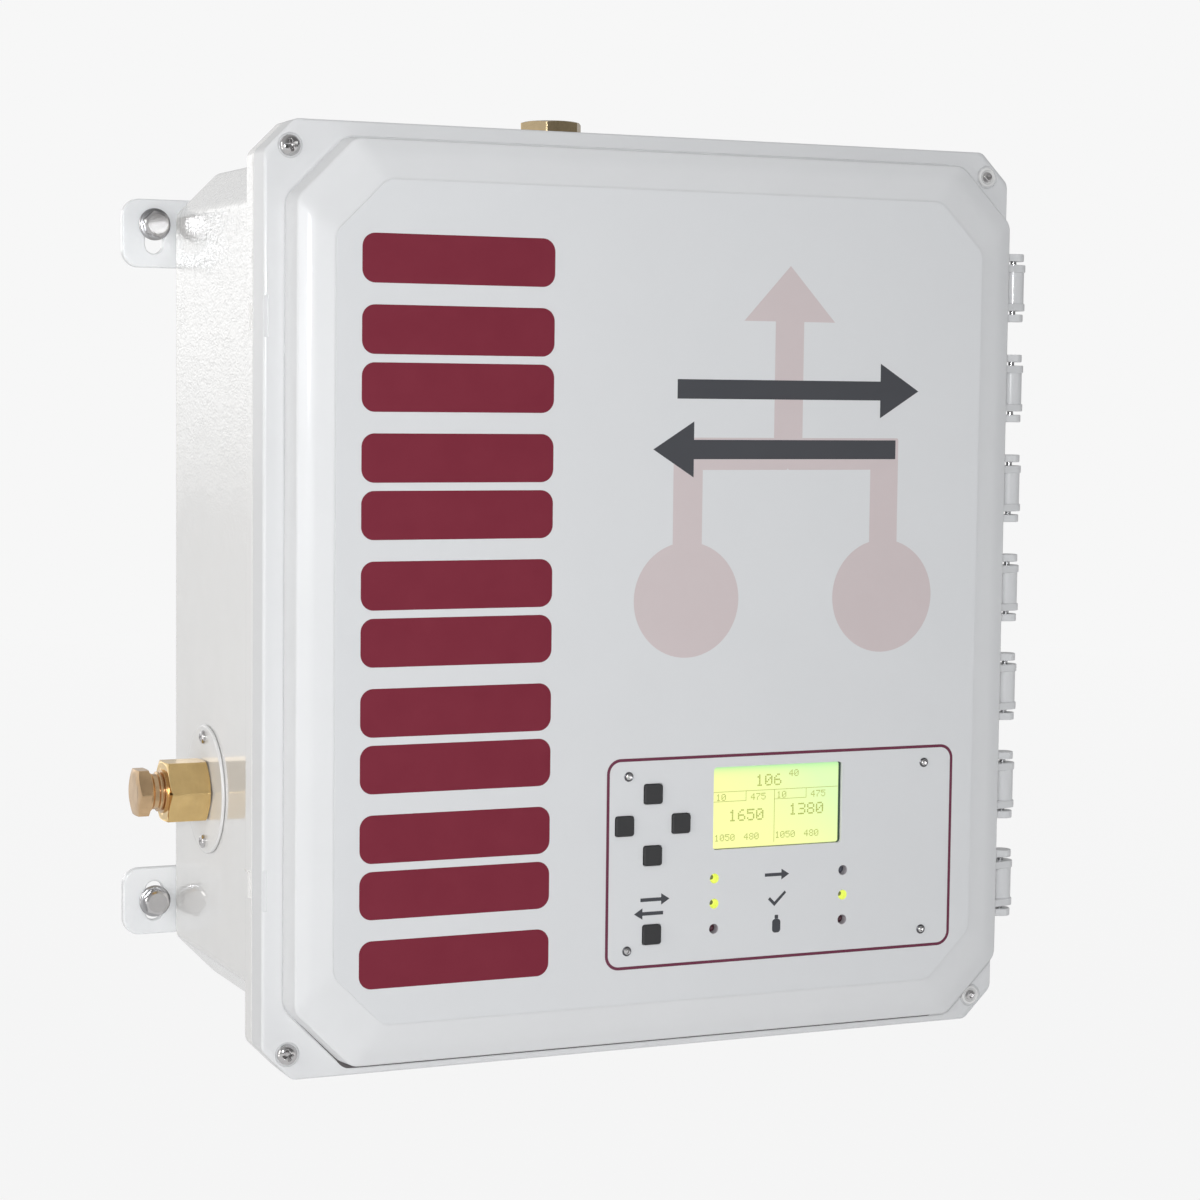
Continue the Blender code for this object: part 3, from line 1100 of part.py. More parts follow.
def main():
    """Clear the scene and build every piece."""
    for obj in list(bpy.data.objects):
        bpy.data.objects.remove(obj)
    materials = {
        "shell": make_material("moulded_fibreglass", (0.78, 0.79, 0.78), 0.25),
        "film": make_material("printed_film", (0.68, 0.70, 0.71), 0.4),
        "seal": make_material("seal_foam", (0.06, 0.06, 0.06), 0.8),
        "pale": make_material("pale_polymer", (0.70, 0.71, 0.71), 0.35),
        "steel": make_material("stainless_steel", (0.62, 0.62, 0.62), 0.25, 1.0),
        "plate": make_material("zinc_plated_sheet", (0.60, 0.61, 0.60), 0.4, 1.0),
        "brass": make_material("brass", (0.68, 0.45, 0.17), 0.25, 1.0),
        "copper": make_material("copper", (0.72, 0.35, 0.20), 0.3, 1.0),
        "cover": make_material("painted_cover", (0.74, 0.74, 0.73), 0.3),
        "key": make_material("key_rubber", (0.04, 0.04, 0.04), 0.55),
        "glass": make_material("display_cell", (0.66, 0.86, 0.22), 0.2),
        "board": make_material("circuit_board", (0.02, 0.16, 0.07), 0.45),
        "black": make_material("black_plastic", (0.03, 0.03, 0.03), 0.45),
        "clear": make_material("clear_acrylic", (0.75, 0.80, 0.50), 0.15),
        "aluminium": make_material("aluminium", (0.66, 0.67, 0.68), 0.35, 1.0),
    }
    build_body(materials["shell"])
    build_lid(materials["shell"])
    build_overlay(materials["film"])
    build_gasket(materials["seal"])
    build_hinge_pins(materials["steel"])
    build_lid_screws(materials["steel"])
    build_feet(materials["pale"], materials["steel"])
    build_ports(materials["brass"], materials["cover"])
    build_mounting_plate(materials["plate"])
    build_gas_train(materials)
    build_electrics(materials)
    build_keys(materials["key"])
    build_display(materials["aluminium"], materials["glass"])
    build_board(materials["board"])
    build_light_pipes(materials["clear"])
    hang_on("lid_hinge_axis", (HINGE_X, SEAM_Y, 0),
            ("lid_", "front_overlay", "key_", "display_", "control_board", "light_pipe_"))


if __name__ == "__main__":
    main()
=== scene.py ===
"""Looks of a wall-mounted automatic gas changeover cabinet.

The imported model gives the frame: metres, X to the right, Y into the wall, Z up, with the origin in the
wall plane. The moulded shells, their hinges and the small fasteners are rebuilt here with finer edges,
the flat face gets its printing, and every surface gets a procedural finish.
"""

from __future__ import annotations

import logging
import math
from dataclasses import dataclass, field
from enum import Enum
from typing import Iterable, Sequence

import bmesh
import bpy
from bmesh.types import BMesh
from bpy.types import Material, Node, NodeSocket, NodeTree, Object
from mathutils import Matrix, Vector

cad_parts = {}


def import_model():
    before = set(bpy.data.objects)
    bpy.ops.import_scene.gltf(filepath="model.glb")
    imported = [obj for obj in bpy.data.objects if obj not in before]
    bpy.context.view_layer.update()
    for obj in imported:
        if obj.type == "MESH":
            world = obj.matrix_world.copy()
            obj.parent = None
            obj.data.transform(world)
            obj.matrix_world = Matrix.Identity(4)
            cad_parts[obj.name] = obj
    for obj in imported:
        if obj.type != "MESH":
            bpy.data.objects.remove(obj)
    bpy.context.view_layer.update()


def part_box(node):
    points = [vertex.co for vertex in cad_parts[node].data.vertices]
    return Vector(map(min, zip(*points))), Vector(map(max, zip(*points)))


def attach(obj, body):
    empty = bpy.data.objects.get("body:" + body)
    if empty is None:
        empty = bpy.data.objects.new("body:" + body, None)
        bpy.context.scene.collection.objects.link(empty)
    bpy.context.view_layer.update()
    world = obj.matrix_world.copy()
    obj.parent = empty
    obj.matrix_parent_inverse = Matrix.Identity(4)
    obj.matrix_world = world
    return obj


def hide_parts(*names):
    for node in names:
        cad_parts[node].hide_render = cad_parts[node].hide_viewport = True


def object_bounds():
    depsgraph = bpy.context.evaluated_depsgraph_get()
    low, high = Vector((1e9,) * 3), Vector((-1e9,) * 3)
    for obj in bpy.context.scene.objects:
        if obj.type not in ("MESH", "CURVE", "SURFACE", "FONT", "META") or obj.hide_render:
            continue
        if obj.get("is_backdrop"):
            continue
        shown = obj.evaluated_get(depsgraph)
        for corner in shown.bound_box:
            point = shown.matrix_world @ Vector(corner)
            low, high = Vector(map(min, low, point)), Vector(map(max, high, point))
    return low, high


LOG = logging.getLogger("changeover_cabinet")
MM = 0.001
HIDDEN_OVERLAP = 0.5 * MM
FOOT_LIFT = 3.9 * MM
CUT_MARGIN = 1.0 * MM
PLATE_SCREW_INSET = 16.0 * MM
BOARD_SCREW_INSET = 8.0 * MM
CUT_GROWTH = 2 - math.sqrt(2)
LEAST_RADIUS = 0.3 * MM
LEAST_GROWN_RADIUS = 0.4 * MM
STRAIGHT_TURN = 0.02
ARM_SHARE = 0.48
BEVEL_ANGLE = math.radians(30)
ARROW_TAPER = 0.8
SUBSURFACE_REACH = 2 * MM
TOOL_MARK_DEPTH = 0.0012 * MM
TARNISH_AMOUNT = 0.45
TARNISH_DARKENING = 0.55
Point2 = tuple[float, float]
Point3 = tuple[float, float, float]
Colour = tuple[float, float, float]
Value = float | Sequence[float] | NodeSocket
Outputs = bpy.types.bpy_prop_collection
DUST_COLOUR: Colour = (0.55, 0.53, 0.50)
FACING_FRONT = Matrix.Rotation(math.pi / 2, 4, "X")
WHITE = (1.0, 1.0, 1.0, 1.0)


class Side(Enum):
    """The two sides of the cabinet, seen from the front."""

    LEFT = -1
    RIGHT = 1

    @property
    def word(self) -> str:
        """The side's name in a piece's name."""
        return self.name.lower()


class Level(Enum):
    """The top and the bottom of the cabinet."""

    TOP = 1
    BOTTOM = -1

    @property
    def word(self) -> str:
        """The level's name in a piece's name."""
        return self.name.lower()


class Drive(Enum):
    """The recess in a screw's head."""

    CROSS = "cross"
    SOCKET = "socket"


# Meshes


@dataclass(frozen=True)
class Section:
    """A rectangle with cut and rounded corners, seen from the front."""

    half_width: float
    half_height: float
    cut: float
    radius: float
    x: float = 0.0
    z: float = 0.0

    def grown(self, distance: float) -> Section:
        """The section with every side moved outwards by the distance."""
        radius = max(self.radius + distance, LEAST_GROWN_RADIUS)
        return Section(self.half_width + distance, self.half_height + distance,
                       self.cut + distance * CUT_GROWTH, radius, self.x, self.z)

    def blend(self, other: Section, share: float) -> Section:
        """A section part of the way to another one.

        Args:
            other: The section at share 1.
            share: How far to go towards it.

        Returns:
            The section in between.
        """
        def mix(a: float, b: float) -> float:
            return a + (b - a) * share

        return Section(mix(self.half_width, other.half_width), mix(self.half_height, other.half_height),
                       mix(self.cut, other.cut), mix(self.radius, other.radius), mix(self.x, other.x),
                       mix(self.z, other.z))

    def ring(self, y: float, steps: int = 6) -> list[Vector]:
        """Its outline at one depth, anticlockwise from the front.

        Args:
            y: The depth of the ring.
            steps: How many facets round each corner.

        Returns:
            The ring's points.
        """
        w, h, c = self.half_width, self.half_height, self.cut
        corners = [(w, h - c), (w - c, h), (c - w, h), (-w, h - c),
                   (-w, c - h), (c - w, -h), (w - c, -h), (w, c - h)]
        turn = math.pi / 4
        reach = self.radius * math.tan(turn / 2)
        points = []
        for index, (x, z) in enumerate(corners):
            along = (Vector((x, z)) - Vector(corners[index - 1])).normalized()
            inward = Vector((-along.y, along.x))
            centre = Vector((x, z)) - along * reach + inward * self.radius
            start = math.atan2(-inward.y, -inward.x)
            for step in range(steps + 1):
                angle = start + turn * step / steps
                spot = centre + self.radius * Vector((math.cos(angle), math.sin(angle)))
                points.append(Vector((self.x + spot.x, y, self.z + spot.y)))
        return points


@dataclass(frozen=True)
class Station:
    """One corner of a moulding's profile: a section at a depth, with a rounding."""

    section: Section
    y: float
    rounding: float = 0.0


def soften(stations: Sequence[Station], segments: int = 4) -> list[list[Vector]]:
    """Turn a profile of stations into rings, with an arc at each rounded corner.

    Args:
        stations: The corners of the profile, in order.
        segments: How many facets in each arc.

    Returns:
        The rings to skin.
    """
    rings = []
    for index, station in enumerate(stations):
        ends = index in (0, len(stations) - 1)
        if ends or station.rounding <= 0:
            rings.append(station.section.ring(station.y))
            continue
        here = Vector((station.section.half_width, station.y))
        arms = []
        for other in (stations[index - 1], stations[index + 1]):
            arms.append(Vector((other.section.half_width, other.y)) - here)
        turn = math.pi - arms[0].angle(arms[1])
        if turn < STRAIGHT_TURN:
            rings.append(station.section.ring(station.y))
            continue
        reach = min(station.rounding * math.tan(turn / 2), arms[0].length * ARM_SHARE, arms[1].length * ARM_SHARE)
        weight = math.cos(turn / 2)
        for step in range(segments + 1):
            t = step / segments
            parts = ((1 - t) ** 2, 2 * t * (1 - t) * weight, t ** 2)
            total = sum(parts)
            back, ahead = parts[0] / total * reach / arms[0].length, parts[2] / total * reach / arms[1].length
            before, after = stations[index - 1], stations[index + 1]
            section = station.section.blend(before.section, back)
            shift = station.section.blend(after.section, ahead)
            mixed = Section(section.half_width + shift.half_width - station.section.half_width,
                            section.half_height + shift.half_height - station.section.half_height,
                            section.cut + shift.cut - station.section.cut,
                            max(section.radius + shift.radius - station.section.radius, LEAST_RADIUS),
                            section.x + shift.x - station.section.x, section.z + shift.z - station.section.z)
            depth = station.y + (before.y - station.y) * back + (after.y - station.y) * ahead
            rings.append(mixed.ring(depth))
    return rings


def add_loft(bm: BMesh, rings: Sequence[Sequence[Vector]], closed: bool = False) -> None:
    """Skin a row of rings with as many points each.

    Args:
        bm: The mesh to add to.
        rings: The rings, in order.
        closed: Whether the last ring joins the first, in place of two caps.
    """
    rows = [[bm.verts.new(point) for point in ring] for ring in rings]
    pairs = list(zip(rows, rows[1:]))
    if closed:
        pairs.append((rows[-1], rows[0]))
    faces = []
    for first, second in pairs:
        for index in range(len(first)):
            faces.append(bm.faces.new((first[index - 1], first[index], second[index], second[index - 1])))
    if not closed:
        faces.append(bm.faces.new(rows[0]))
        faces.append(bm.faces.new(rows[-1]))
    bmesh.ops.recalc_face_normals(bm, faces=faces)


def axis_frame(axis: Sequence[float]) -> tuple[Vector, Vector, Vector]:
    """An axis and two directions that make a right-handed frame with it."""
    main = Vector(axis).normalized()
    side = Vector((1, 0, 0)) if abs(main.x) < 0.5 else Vector((0, 1, 0))
    first = (side - main * side.dot(main)).normalized()
    return main, first, main.cross(first)


def add_turned(bm: BMesh, profile: Sequence[Point2], origin: Sequence[float], axis: Sequence[float],
               steps: int = 48, closed: bool = False) -> None:
    """Turn a profile of (radius, height) pairs round an axis.

    Args:
        bm: The mesh to add to.
        profile: The pairs, from one end of the axis to the other.
        origin: A point on the axis, at height zero.
        axis: The direction of the axis.
        steps: How many facets round the axis.
        closed: Whether the profile is a loop, for a ring with a hole.
    """
    main, first, second = axis_frame(axis)
    start = Vector(origin)
    rings = []
    for radius, height in profile:
        angles = [2 * math.pi * step / steps for step in range(steps)]
        rings.append([start + main * height + first * radius * math.cos(a) + second * radius * math.sin(a)
                      for a in angles])
    add_loft(bm, rings, closed)


def add_prism(bm: BMesh, outline: Sequence[Point2], origin: Sequence[float], axis: Sequence[float],
              length: float) -> None:
    """Extrude a flat outline from an origin along an axis.

    Args:
        bm: The mesh to add to.
        outline: Points in the plane across the axis.
        origin: The point that the outline's zero lies on.
        axis: The direction to extrude in.
        length: How far to extrude.
    """
    main, first, second = axis_frame(axis)
    start = Vector(origin)
    add_loft(bm, [[start + main * height + first * u + second * v for u, v in outline] for height in (0, length)])


def add_box(bm: BMesh, low: Sequence[float], high: Sequence[float]) -> None:
    """Add a box between two corners."""
    centre = (Vector(low) + Vector(high)) / 2
    size = Vector(high) - Vector(low)
    bmesh.ops.create_cube(bm, size=1, matrix=Matrix.Translation(centre) @ Matrix.Diagonal((*size, 1)))


def rounded_rectangle(width: float, height: float, radius: float, steps: int = 6) -> list[Point2]:
    """An outline centred on zero, with round corners."""
    points = []
    for quarter, (sx, sy) in enumerate([(1, 1), (-1, 1), (-1, -1), (1, -1)]):
        for step in range(steps + 1):
            angle = math.pi / 2 * (quarter + step / steps)
            points.append((sx * (width / 2 - radius) + radius * math.cos(angle),
                           sy * (height / 2 - radius) + radius * math.sin(angle)))
    return points


def hexagon(flats: float, turn: float = 0.0, rounding: float = 0.0) -> list[Point2]:
    """A hexagon by its size across flats, with a corner on the first direction.

    Args:
        flats: The size across flats.
        turn: How far to turn it.
        rounding: The radius of its corners.

    Returns:
        The outline.
    """
    reach = (flats / 2 - rounding) / math.cos(math.pi / 6)
    points = []
    for step in range(6):
        middle = turn + math.pi / 3 * step
        for share in ((-0.5, -0.25, 0.0, 0.25, 0.5) if rounding else (0.0,)):
            angle = middle + math.pi / 3 * share
            points.append((reach * math.cos(middle) + rounding * math.cos(angle),
                           reach * math.sin(middle) + rounding * math.sin(angle)))
    return points


def circle(radius: float, steps: int = 48) -> list[Point2]:
    """A circle as an outline."""
    return [(radius * math.cos(2 * math.pi * step / steps), radius * math.sin(2 * math.pi * step / steps))
            for step in range(steps)]


def make_piece(name: str, bm: BMesh, material: Material | None = None) -> Object:
    """An object in the scene from a mesh under construction."""
    mesh = bpy.data.meshes.new(name)
    bm.to_mesh(mesh)
    bm.free()
    piece = bpy.data.objects.new(name, mesh)
    if material:
        mesh.materials.append(material)
    bpy.context.scene.collection.objects.link(piece)
    return piece


def turned_piece(name: str, profile: Sequence[Point2], origin: Sequence[float], axis: Sequence[float],
                 material: Material, steps: int = 32, closed: bool = False) -> Object:
    """A piece turned from one profile, with the arguments of add_turned."""
    bm = bmesh.new()
    add_turned(bm, profile, origin, axis, steps, closed)
    return make_piece(name, bm, material)


def settle(piece: Object) -> None:
    """Turn a piece's modifiers into its mesh."""
    bpy.context.view_layer.update()
    graph = bpy.context.evaluated_depsgraph_get()
    mesh = bpy.data.meshes.new_from_object(piece.evaluated_get(graph))
    piece.modifiers.clear()
    old = piece.data
    piece.data = mesh
    mesh.name = old.name
    bpy.data.meshes.remove(old)


def combine(piece: Object, bm: BMesh, operation: str = "DIFFERENCE") -> None:
    """Cut, join or intersect a piece with the closed shapes of a mesh under construction.

    Args:
        piece: The piece to change.
        bm: The shapes, which are used up.
        operation: DIFFERENCE, UNION or INTERSECT.
    """
    tool = make_piece(piece.name + "_tool", bm)
    modifier = piece.modifiers.new("combine", "BOOLEAN")
    modifier.operation = operation
    modifier.object = tool
    settle(piece)
    bpy.data.objects.remove(tool)


def combine_turned(piece: Object, operation: str, profile: Sequence[Point2], origin: Sequence[float] = (0, 0, 0),
                   axis: Sequence[float] = (0, 0, 1), steps: int = 48) -> None:
    """Cut, join or intersect a piece with one turned shape, with the arguments of add_turned."""
    bm = bmesh.new()
    add_turned(bm, profile, origin, axis, steps)
    combine(piece, bm, operation)


def finish_edges(piece: Object, width: float = 0.0, segments: int = 3, sharp: float = 35.0) -> None:
    """Bevel a piece's edges and shade it smooth.

    Args:
        piece: The piece to finish.
        width: The bevel's width, or zero for none.
        segments: How many facets in the bevel.
        sharp: The angle above which an edge stays sharp, in degrees.
    """
    if width:
        bevel = piece.modifiers.new("edges", "BEVEL")
        bevel.width = width
        bevel.segments = segments
        bevel.limit_method = "ANGLE"
        bevel.angle_limit = BEVEL_ANGLE
        bevel.harden_normals = False
        settle(piece)
    piece.data.shade_smooth()
    piece.data.set_sharp_from_angle(angle=math.radians(sharp))
    normals = piece.modifiers.new("normals", "WEIGHTED_NORMAL")
    normals.keep_sharp = True
    settle(piece)


def dress(piece: Object, body: str, replaced: Iterable[str] = ()) -> Object:
    """Fix a finished piece to its body.

    Args:
        piece: The piece, in place.
        body: The body that it rides on.
        replaced: The model's nodes that it stands for.

    Returns:
        The piece.
    """
    names = list(replaced)
    if names:
        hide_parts(*names)
    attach(piece, body)
    LOG.info("%s rides on %s", piece.name, body)
    return piece


# Shader nodes


def feed(tree: NodeTree, socket: NodeSocket, value: Value) -> None:
    """Link an output to a socket, or set the socket's value."""
    if isinstance(value, NodeSocket):
        tree.links.new(value, socket)
    else:
        socket.default_value = value


def add_node(tree: NodeTree, kind: str, inputs: dict[str | int, Value] | None = None,
             **settings: object) -> Node:
    """Add a shader node.

    Args:
        tree: The tree to add to.
        kind: The node's type, without its leading ShaderNode.
        inputs: What each input takes, by the input's name or number.
        settings: Attributes of the node, such as its operation.

    Returns:
        The node.
    """
    node = tree.nodes.new("ShaderNode" + kind)
    for label, value in settings.items():
        setattr(node, label, value)
    for label, value in (inputs or {}).items():
        feed(tree, node.inputs[label], value)
    return node


def compute(tree: NodeTree, operation: str, *values: Value, clamp: bool = False) -> NodeSocket:
    """The result of a math node."""
    return add_node(tree, "Math", dict(enumerate(values)), operation=operation, use_clamp=clamp).outputs[0]


def limit(tree: NodeTree, value: Value) -> NodeSocket:
    """A value held between 0 and 1."""
    return compute(tree, "MINIMUM", compute(tree, "MAXIMUM", value, 0.0), 1.0)


def blend(tree: NodeTree, share: Value, below: Value, above: Value) -> NodeSocket:
    """A mix of two colours."""
    mix = add_node(tree, "Mix", data_type="RGBA")
    for label, value in (("Factor", share), ("A", below), ("B", above)):
        feed(tree, mix.inputs[label], value)
    return mix.outputs["Result"]


def ramp(tree: NodeTree, value: Value, start: Value, end: Value, low: float = 0.0, high: float = 1.0,
         smooth: bool = False) -> NodeSocket:
    """A value taken from one range to another one.

    Args:
        tree: The tree to add to.
        value: The value.
        start: The value that gives the low result.
        end: The value that gives the high result.
        low: The low result.
        high: The high result.
        smooth: Whether both ends ease in.

    Returns:
        The result.
    """
    return add_node(tree, "MapRange", {"Value": value, "From Min": start, "From Max": end, "To Min": low,
                                       "To Max": high},
                    interpolation_type="SMOOTHSTEP" if smooth else "LINEAR").outputs["Result"]


def layer_shaders(tree: NodeTree, shader: NodeSocket,
                  layers: Iterable[tuple[NodeSocket, Node]]) -> NodeSocket:
    """Lay shaders over one another.

    Args:
        tree: The tree to add to.
        shader: The lowest one.
        layers: The share of each other one, and its node.

    Returns:
        The result.
    """
    for share, layer in layers:
        shader = add_node(tree, "MixShader", {"Fac": share, 1: shader, 2: layer.outputs[0]}).outputs[0]
    return shader


def new_material(name: str) -> tuple[Material, NodeTree, Node]:
    """A material, its tree and its shader."""
    material = bpy.data.materials.new(name)
    material.use_nodes = True
    return material, material.node_tree, material.node_tree.nodes["Principled BSDF"]


class ShaderGroups:
    """The node groups that the finishes share, built once."""

    MOTTLE_SPREAD = (3.0, -1.0)
    TARNISH_SPREAD = (2.4, -0.8)
    UPWARD_SPREAD = (2.0, -1.0)
    WARP_SCALE = 60.0
    WARP_REACH = (6 * MM, 6 * MM, 6 * MM)
    FADE_BREAK = (0.08, -0.04)

    def __init__(self) -> None:
        """Build every group."""
        self.mottle = self._mottle()
        self.peel = self._peel()
        self.wear = self._wear()
        self.dust = self._dust()
        self.turned = self._turned()

    @staticmethod
    def _group(name: str, inputs: dict[str, Value], outputs: dict[str, str]) -> NodeTree:
        """An empty group with named sockets.

        Args:
            name: The group's name.
            inputs: Each input's value: a number, a vector or a colour with its alpha.
            outputs: Each output's kind: Color or Float.

        Returns:
            The group, with its two end nodes named in and out.
        """
        tree = bpy.data.node_groups.new(name, "ShaderNodeTree")
        for label, value in inputs.items():
            kind = {3: "Vector", 4: "Color"}[len(value)] if isinstance(value, tuple) else "Float"
            socket = tree.interface.new_socket(name=label, in_out="INPUT", socket_type="NodeSocket" + kind)
            socket.default_value = value
        for label, kind in outputs.items():
            tree.interface.new_socket(name=label, in_out="OUTPUT", socket_type="NodeSocket" + kind)
        tree.nodes.new("NodeGroupInput").name = "in"
        tree.nodes.new("NodeGroupOutput").name = "out"
        return tree

    @staticmethod
    def _noise(tree: NodeTree, scale: Value, detail: float, roughness: float) -> NodeSocket:
        """The value of a noise texture on the object's own coordinates."""
        place = add_node(tree, "TexCoord").outputs["Object"]
        return add_node(tree, "TexNoise", {"Vector": place, "Scale": scale, "Detail": detail,
                                           "Roughness": roughness}).outputs["Fac"]

    def _mottle(self) -> NodeTree:
        """Slow changes of colour and gloss over a moulded or printed surface."""
        tree = self._group(
            "SurfaceMottle",
            {"Colour": (0.8, 0.8, 0.8, 1), "Shade": (0.7, 0.7, 0.7, 1), "Scale": 30.0, "Amount": 0.3,
             "Gloss": 0.3, "Gloss Change": 0.05},
            {"Colour": "Color", "Roughness": "Float"})
        source, target = tree.nodes["in"].outputs, tree.nodes["out"].inputs
        noise = self._noise(tree, source["Scale"], detail=4, roughness=0.55)
        patches = limit(tree, compute(tree, "MULTIPLY_ADD", noise, *self.MOTTLE_SPREAD))
        share = compute(tree, "MULTIPLY", patches, source["Amount"])
        feed(tree, target["Colour"], blend(tree, share, source["Colour"], source["Shade"]))
        change = compute(tree, "MULTIPLY", compute(tree, "SUBTRACT", noise, 0.5), source["Gloss Change"])
        feed(tree, target["Roughness"], compute(tree, "ADD", source["Gloss"], change))
        return tree

    def _peel(self) -> NodeTree:
        """The relief of a moulded skin: slow waves and warped fibres, with a ragged fade along Z."""
        tree = self._group(
            "MouldedSkin",
            {"Wave Scale": 90.0, "Fibre Scale": 420.0, "Wave": 1.0, "Fibre": 0.3, "Fibre Stretch": 3.0,
             "Fade Low": -10.0, "Fade High": -9.0},
            {"Height": "Float"})
        source, target = tree.nodes["in"].outputs, tree.nodes["out"].inputs
        place = add_node(tree, "TexCoord").outputs["Object"]
        warp = add_node(tree, "TexNoise", {"Vector": place, "Scale": self.WARP_SCALE}).outputs
        bent = add_node(tree, "VectorMath", {0: warp["Color"], 1: self.WARP_REACH, 2: place},
                        operation="MULTIPLY_ADD").outputs[0]
        stretch = add_node(tree, "CombineXYZ", {"X": 1.0, "Y": 1.0, "Z": source["Fibre Stretch"]}).outputs[0]
        scaled = add_node(tree, "VectorMath", {0: bent, 1: stretch}, operation="MULTIPLY").outputs[0]
        fibre = add_node(tree, "TexVoronoi", feature="SMOOTH_F1")
        feed(tree, fibre.inputs["Vector"], scaled)
        feed(tree, fibre.inputs["Scale"], source["Fibre Scale"])
        wave = self._noise(tree, source["Wave Scale"], detail=2, roughness=0.5)
        waves = compute(tree, "MULTIPLY", wave, source["Wave"])
        fibres = compute(tree, "MULTIPLY", fibre.outputs["Distance"], source["Fibre"])
        level = add_node(tree, "SeparateXYZ", {0: place}).outputs["Z"]
        ragged = compute(tree, "ADD", level, compute(tree, "MULTIPLY_ADD", warp["Fac"], *self.FADE_BREAK))
        fade = ramp(tree, ragged, source["Fade Low"], source["Fade High"])
        feed(tree, target["Height"], compute(tree, "MULTIPLY", compute(tree, "ADD", waves, fibres), fade))
        return tree

    def _wear(self) -> NodeTree:
        """A mask that is 1 on rubbed outer edges."""
        tree = self._group("EdgeWear", {"Start": 0.54, "Width": 0.08, "Break Scale": 600.0, "Amount": 0.6},
                           {"Mask": "Float"})
        source, target = tree.nodes["in"].outputs, tree.nodes["out"].inputs
        edge = add_node(tree, "NewGeometry").outputs["Pointiness"]
        above = compute(tree, "SUBTRACT", edge, source["Start"])
        rubbed = limit(tree, compute(tree, "DIVIDE", above, source["Width"]))
        noise = self._noise(tree, source["Break Scale"], detail=5, roughness=0.6)
        broken = compute(tree, "MULTIPLY", rubbed, noise)
        feed(tree, target["Mask"], compute(tree, "MULTIPLY", broken, source["Amount"]))
        return tree

    def _dust(self) -> NodeTree:
        """A mask of the dust that lies on faces turned upwards."""
        tree = self._group("RestingDust", {"Amount": 0.3, "Patch Scale": 45.0}, {"Mask": "Float"})
        source, target = tree.nodes["in"].outputs, tree.nodes["out"].inputs
        normal = add_node(tree, "NewGeometry").outputs["Normal"]
        rise = add_node(tree, "SeparateXYZ", {0: normal}).outputs["Z"]
        upward = compute(tree, "MAXIMUM", compute(tree, "MULTIPLY_ADD", rise, *self.UPWARD_SPREAD), 0.0)
        noise = self._noise(tree, source["Patch Scale"], detail=5, roughness=0.65)
        patchy = compute(tree, "MULTIPLY", upward, noise)
        feed(tree, target["Mask"], compute(tree, "MULTIPLY", patchy, source["Amount"]))
        return tree

    def _turned(self) -> NodeTree:
        """The fine tool marks and the tarnish of machined metal."""
        tree = self._group("ToolMarks", {"Direction": (1.0, 0.0, 0.0), "Pitch": 2500.0, "Tarnish Scale": 70.0},
                           {"Height": "Float", "Tarnish": "Float"})
        source, target = tree.nodes["in"].outputs, tree.nodes["out"].inputs
        place = add_node(tree, "TexCoord").outputs["Object"]
        along = add_node(tree, "VectorMath", {0: place, 1: source["Direction"]}, operation="DOT_PRODUCT")
        turns = compute(tree, "MULTIPLY", along.outputs["Value"], source["Pitch"])
        feed(tree, target["Height"], compute(tree, "SINE", turns))
        noise = self._noise(tree, source["Tarnish Scale"], detail=5, roughness=0.6)
        patches = compute(tree, "MULTIPLY_ADD", noise, *self.TARNISH_SPREAD)
        feed(tree, target["Tarnish"], limit(tree, patches))
        return tree


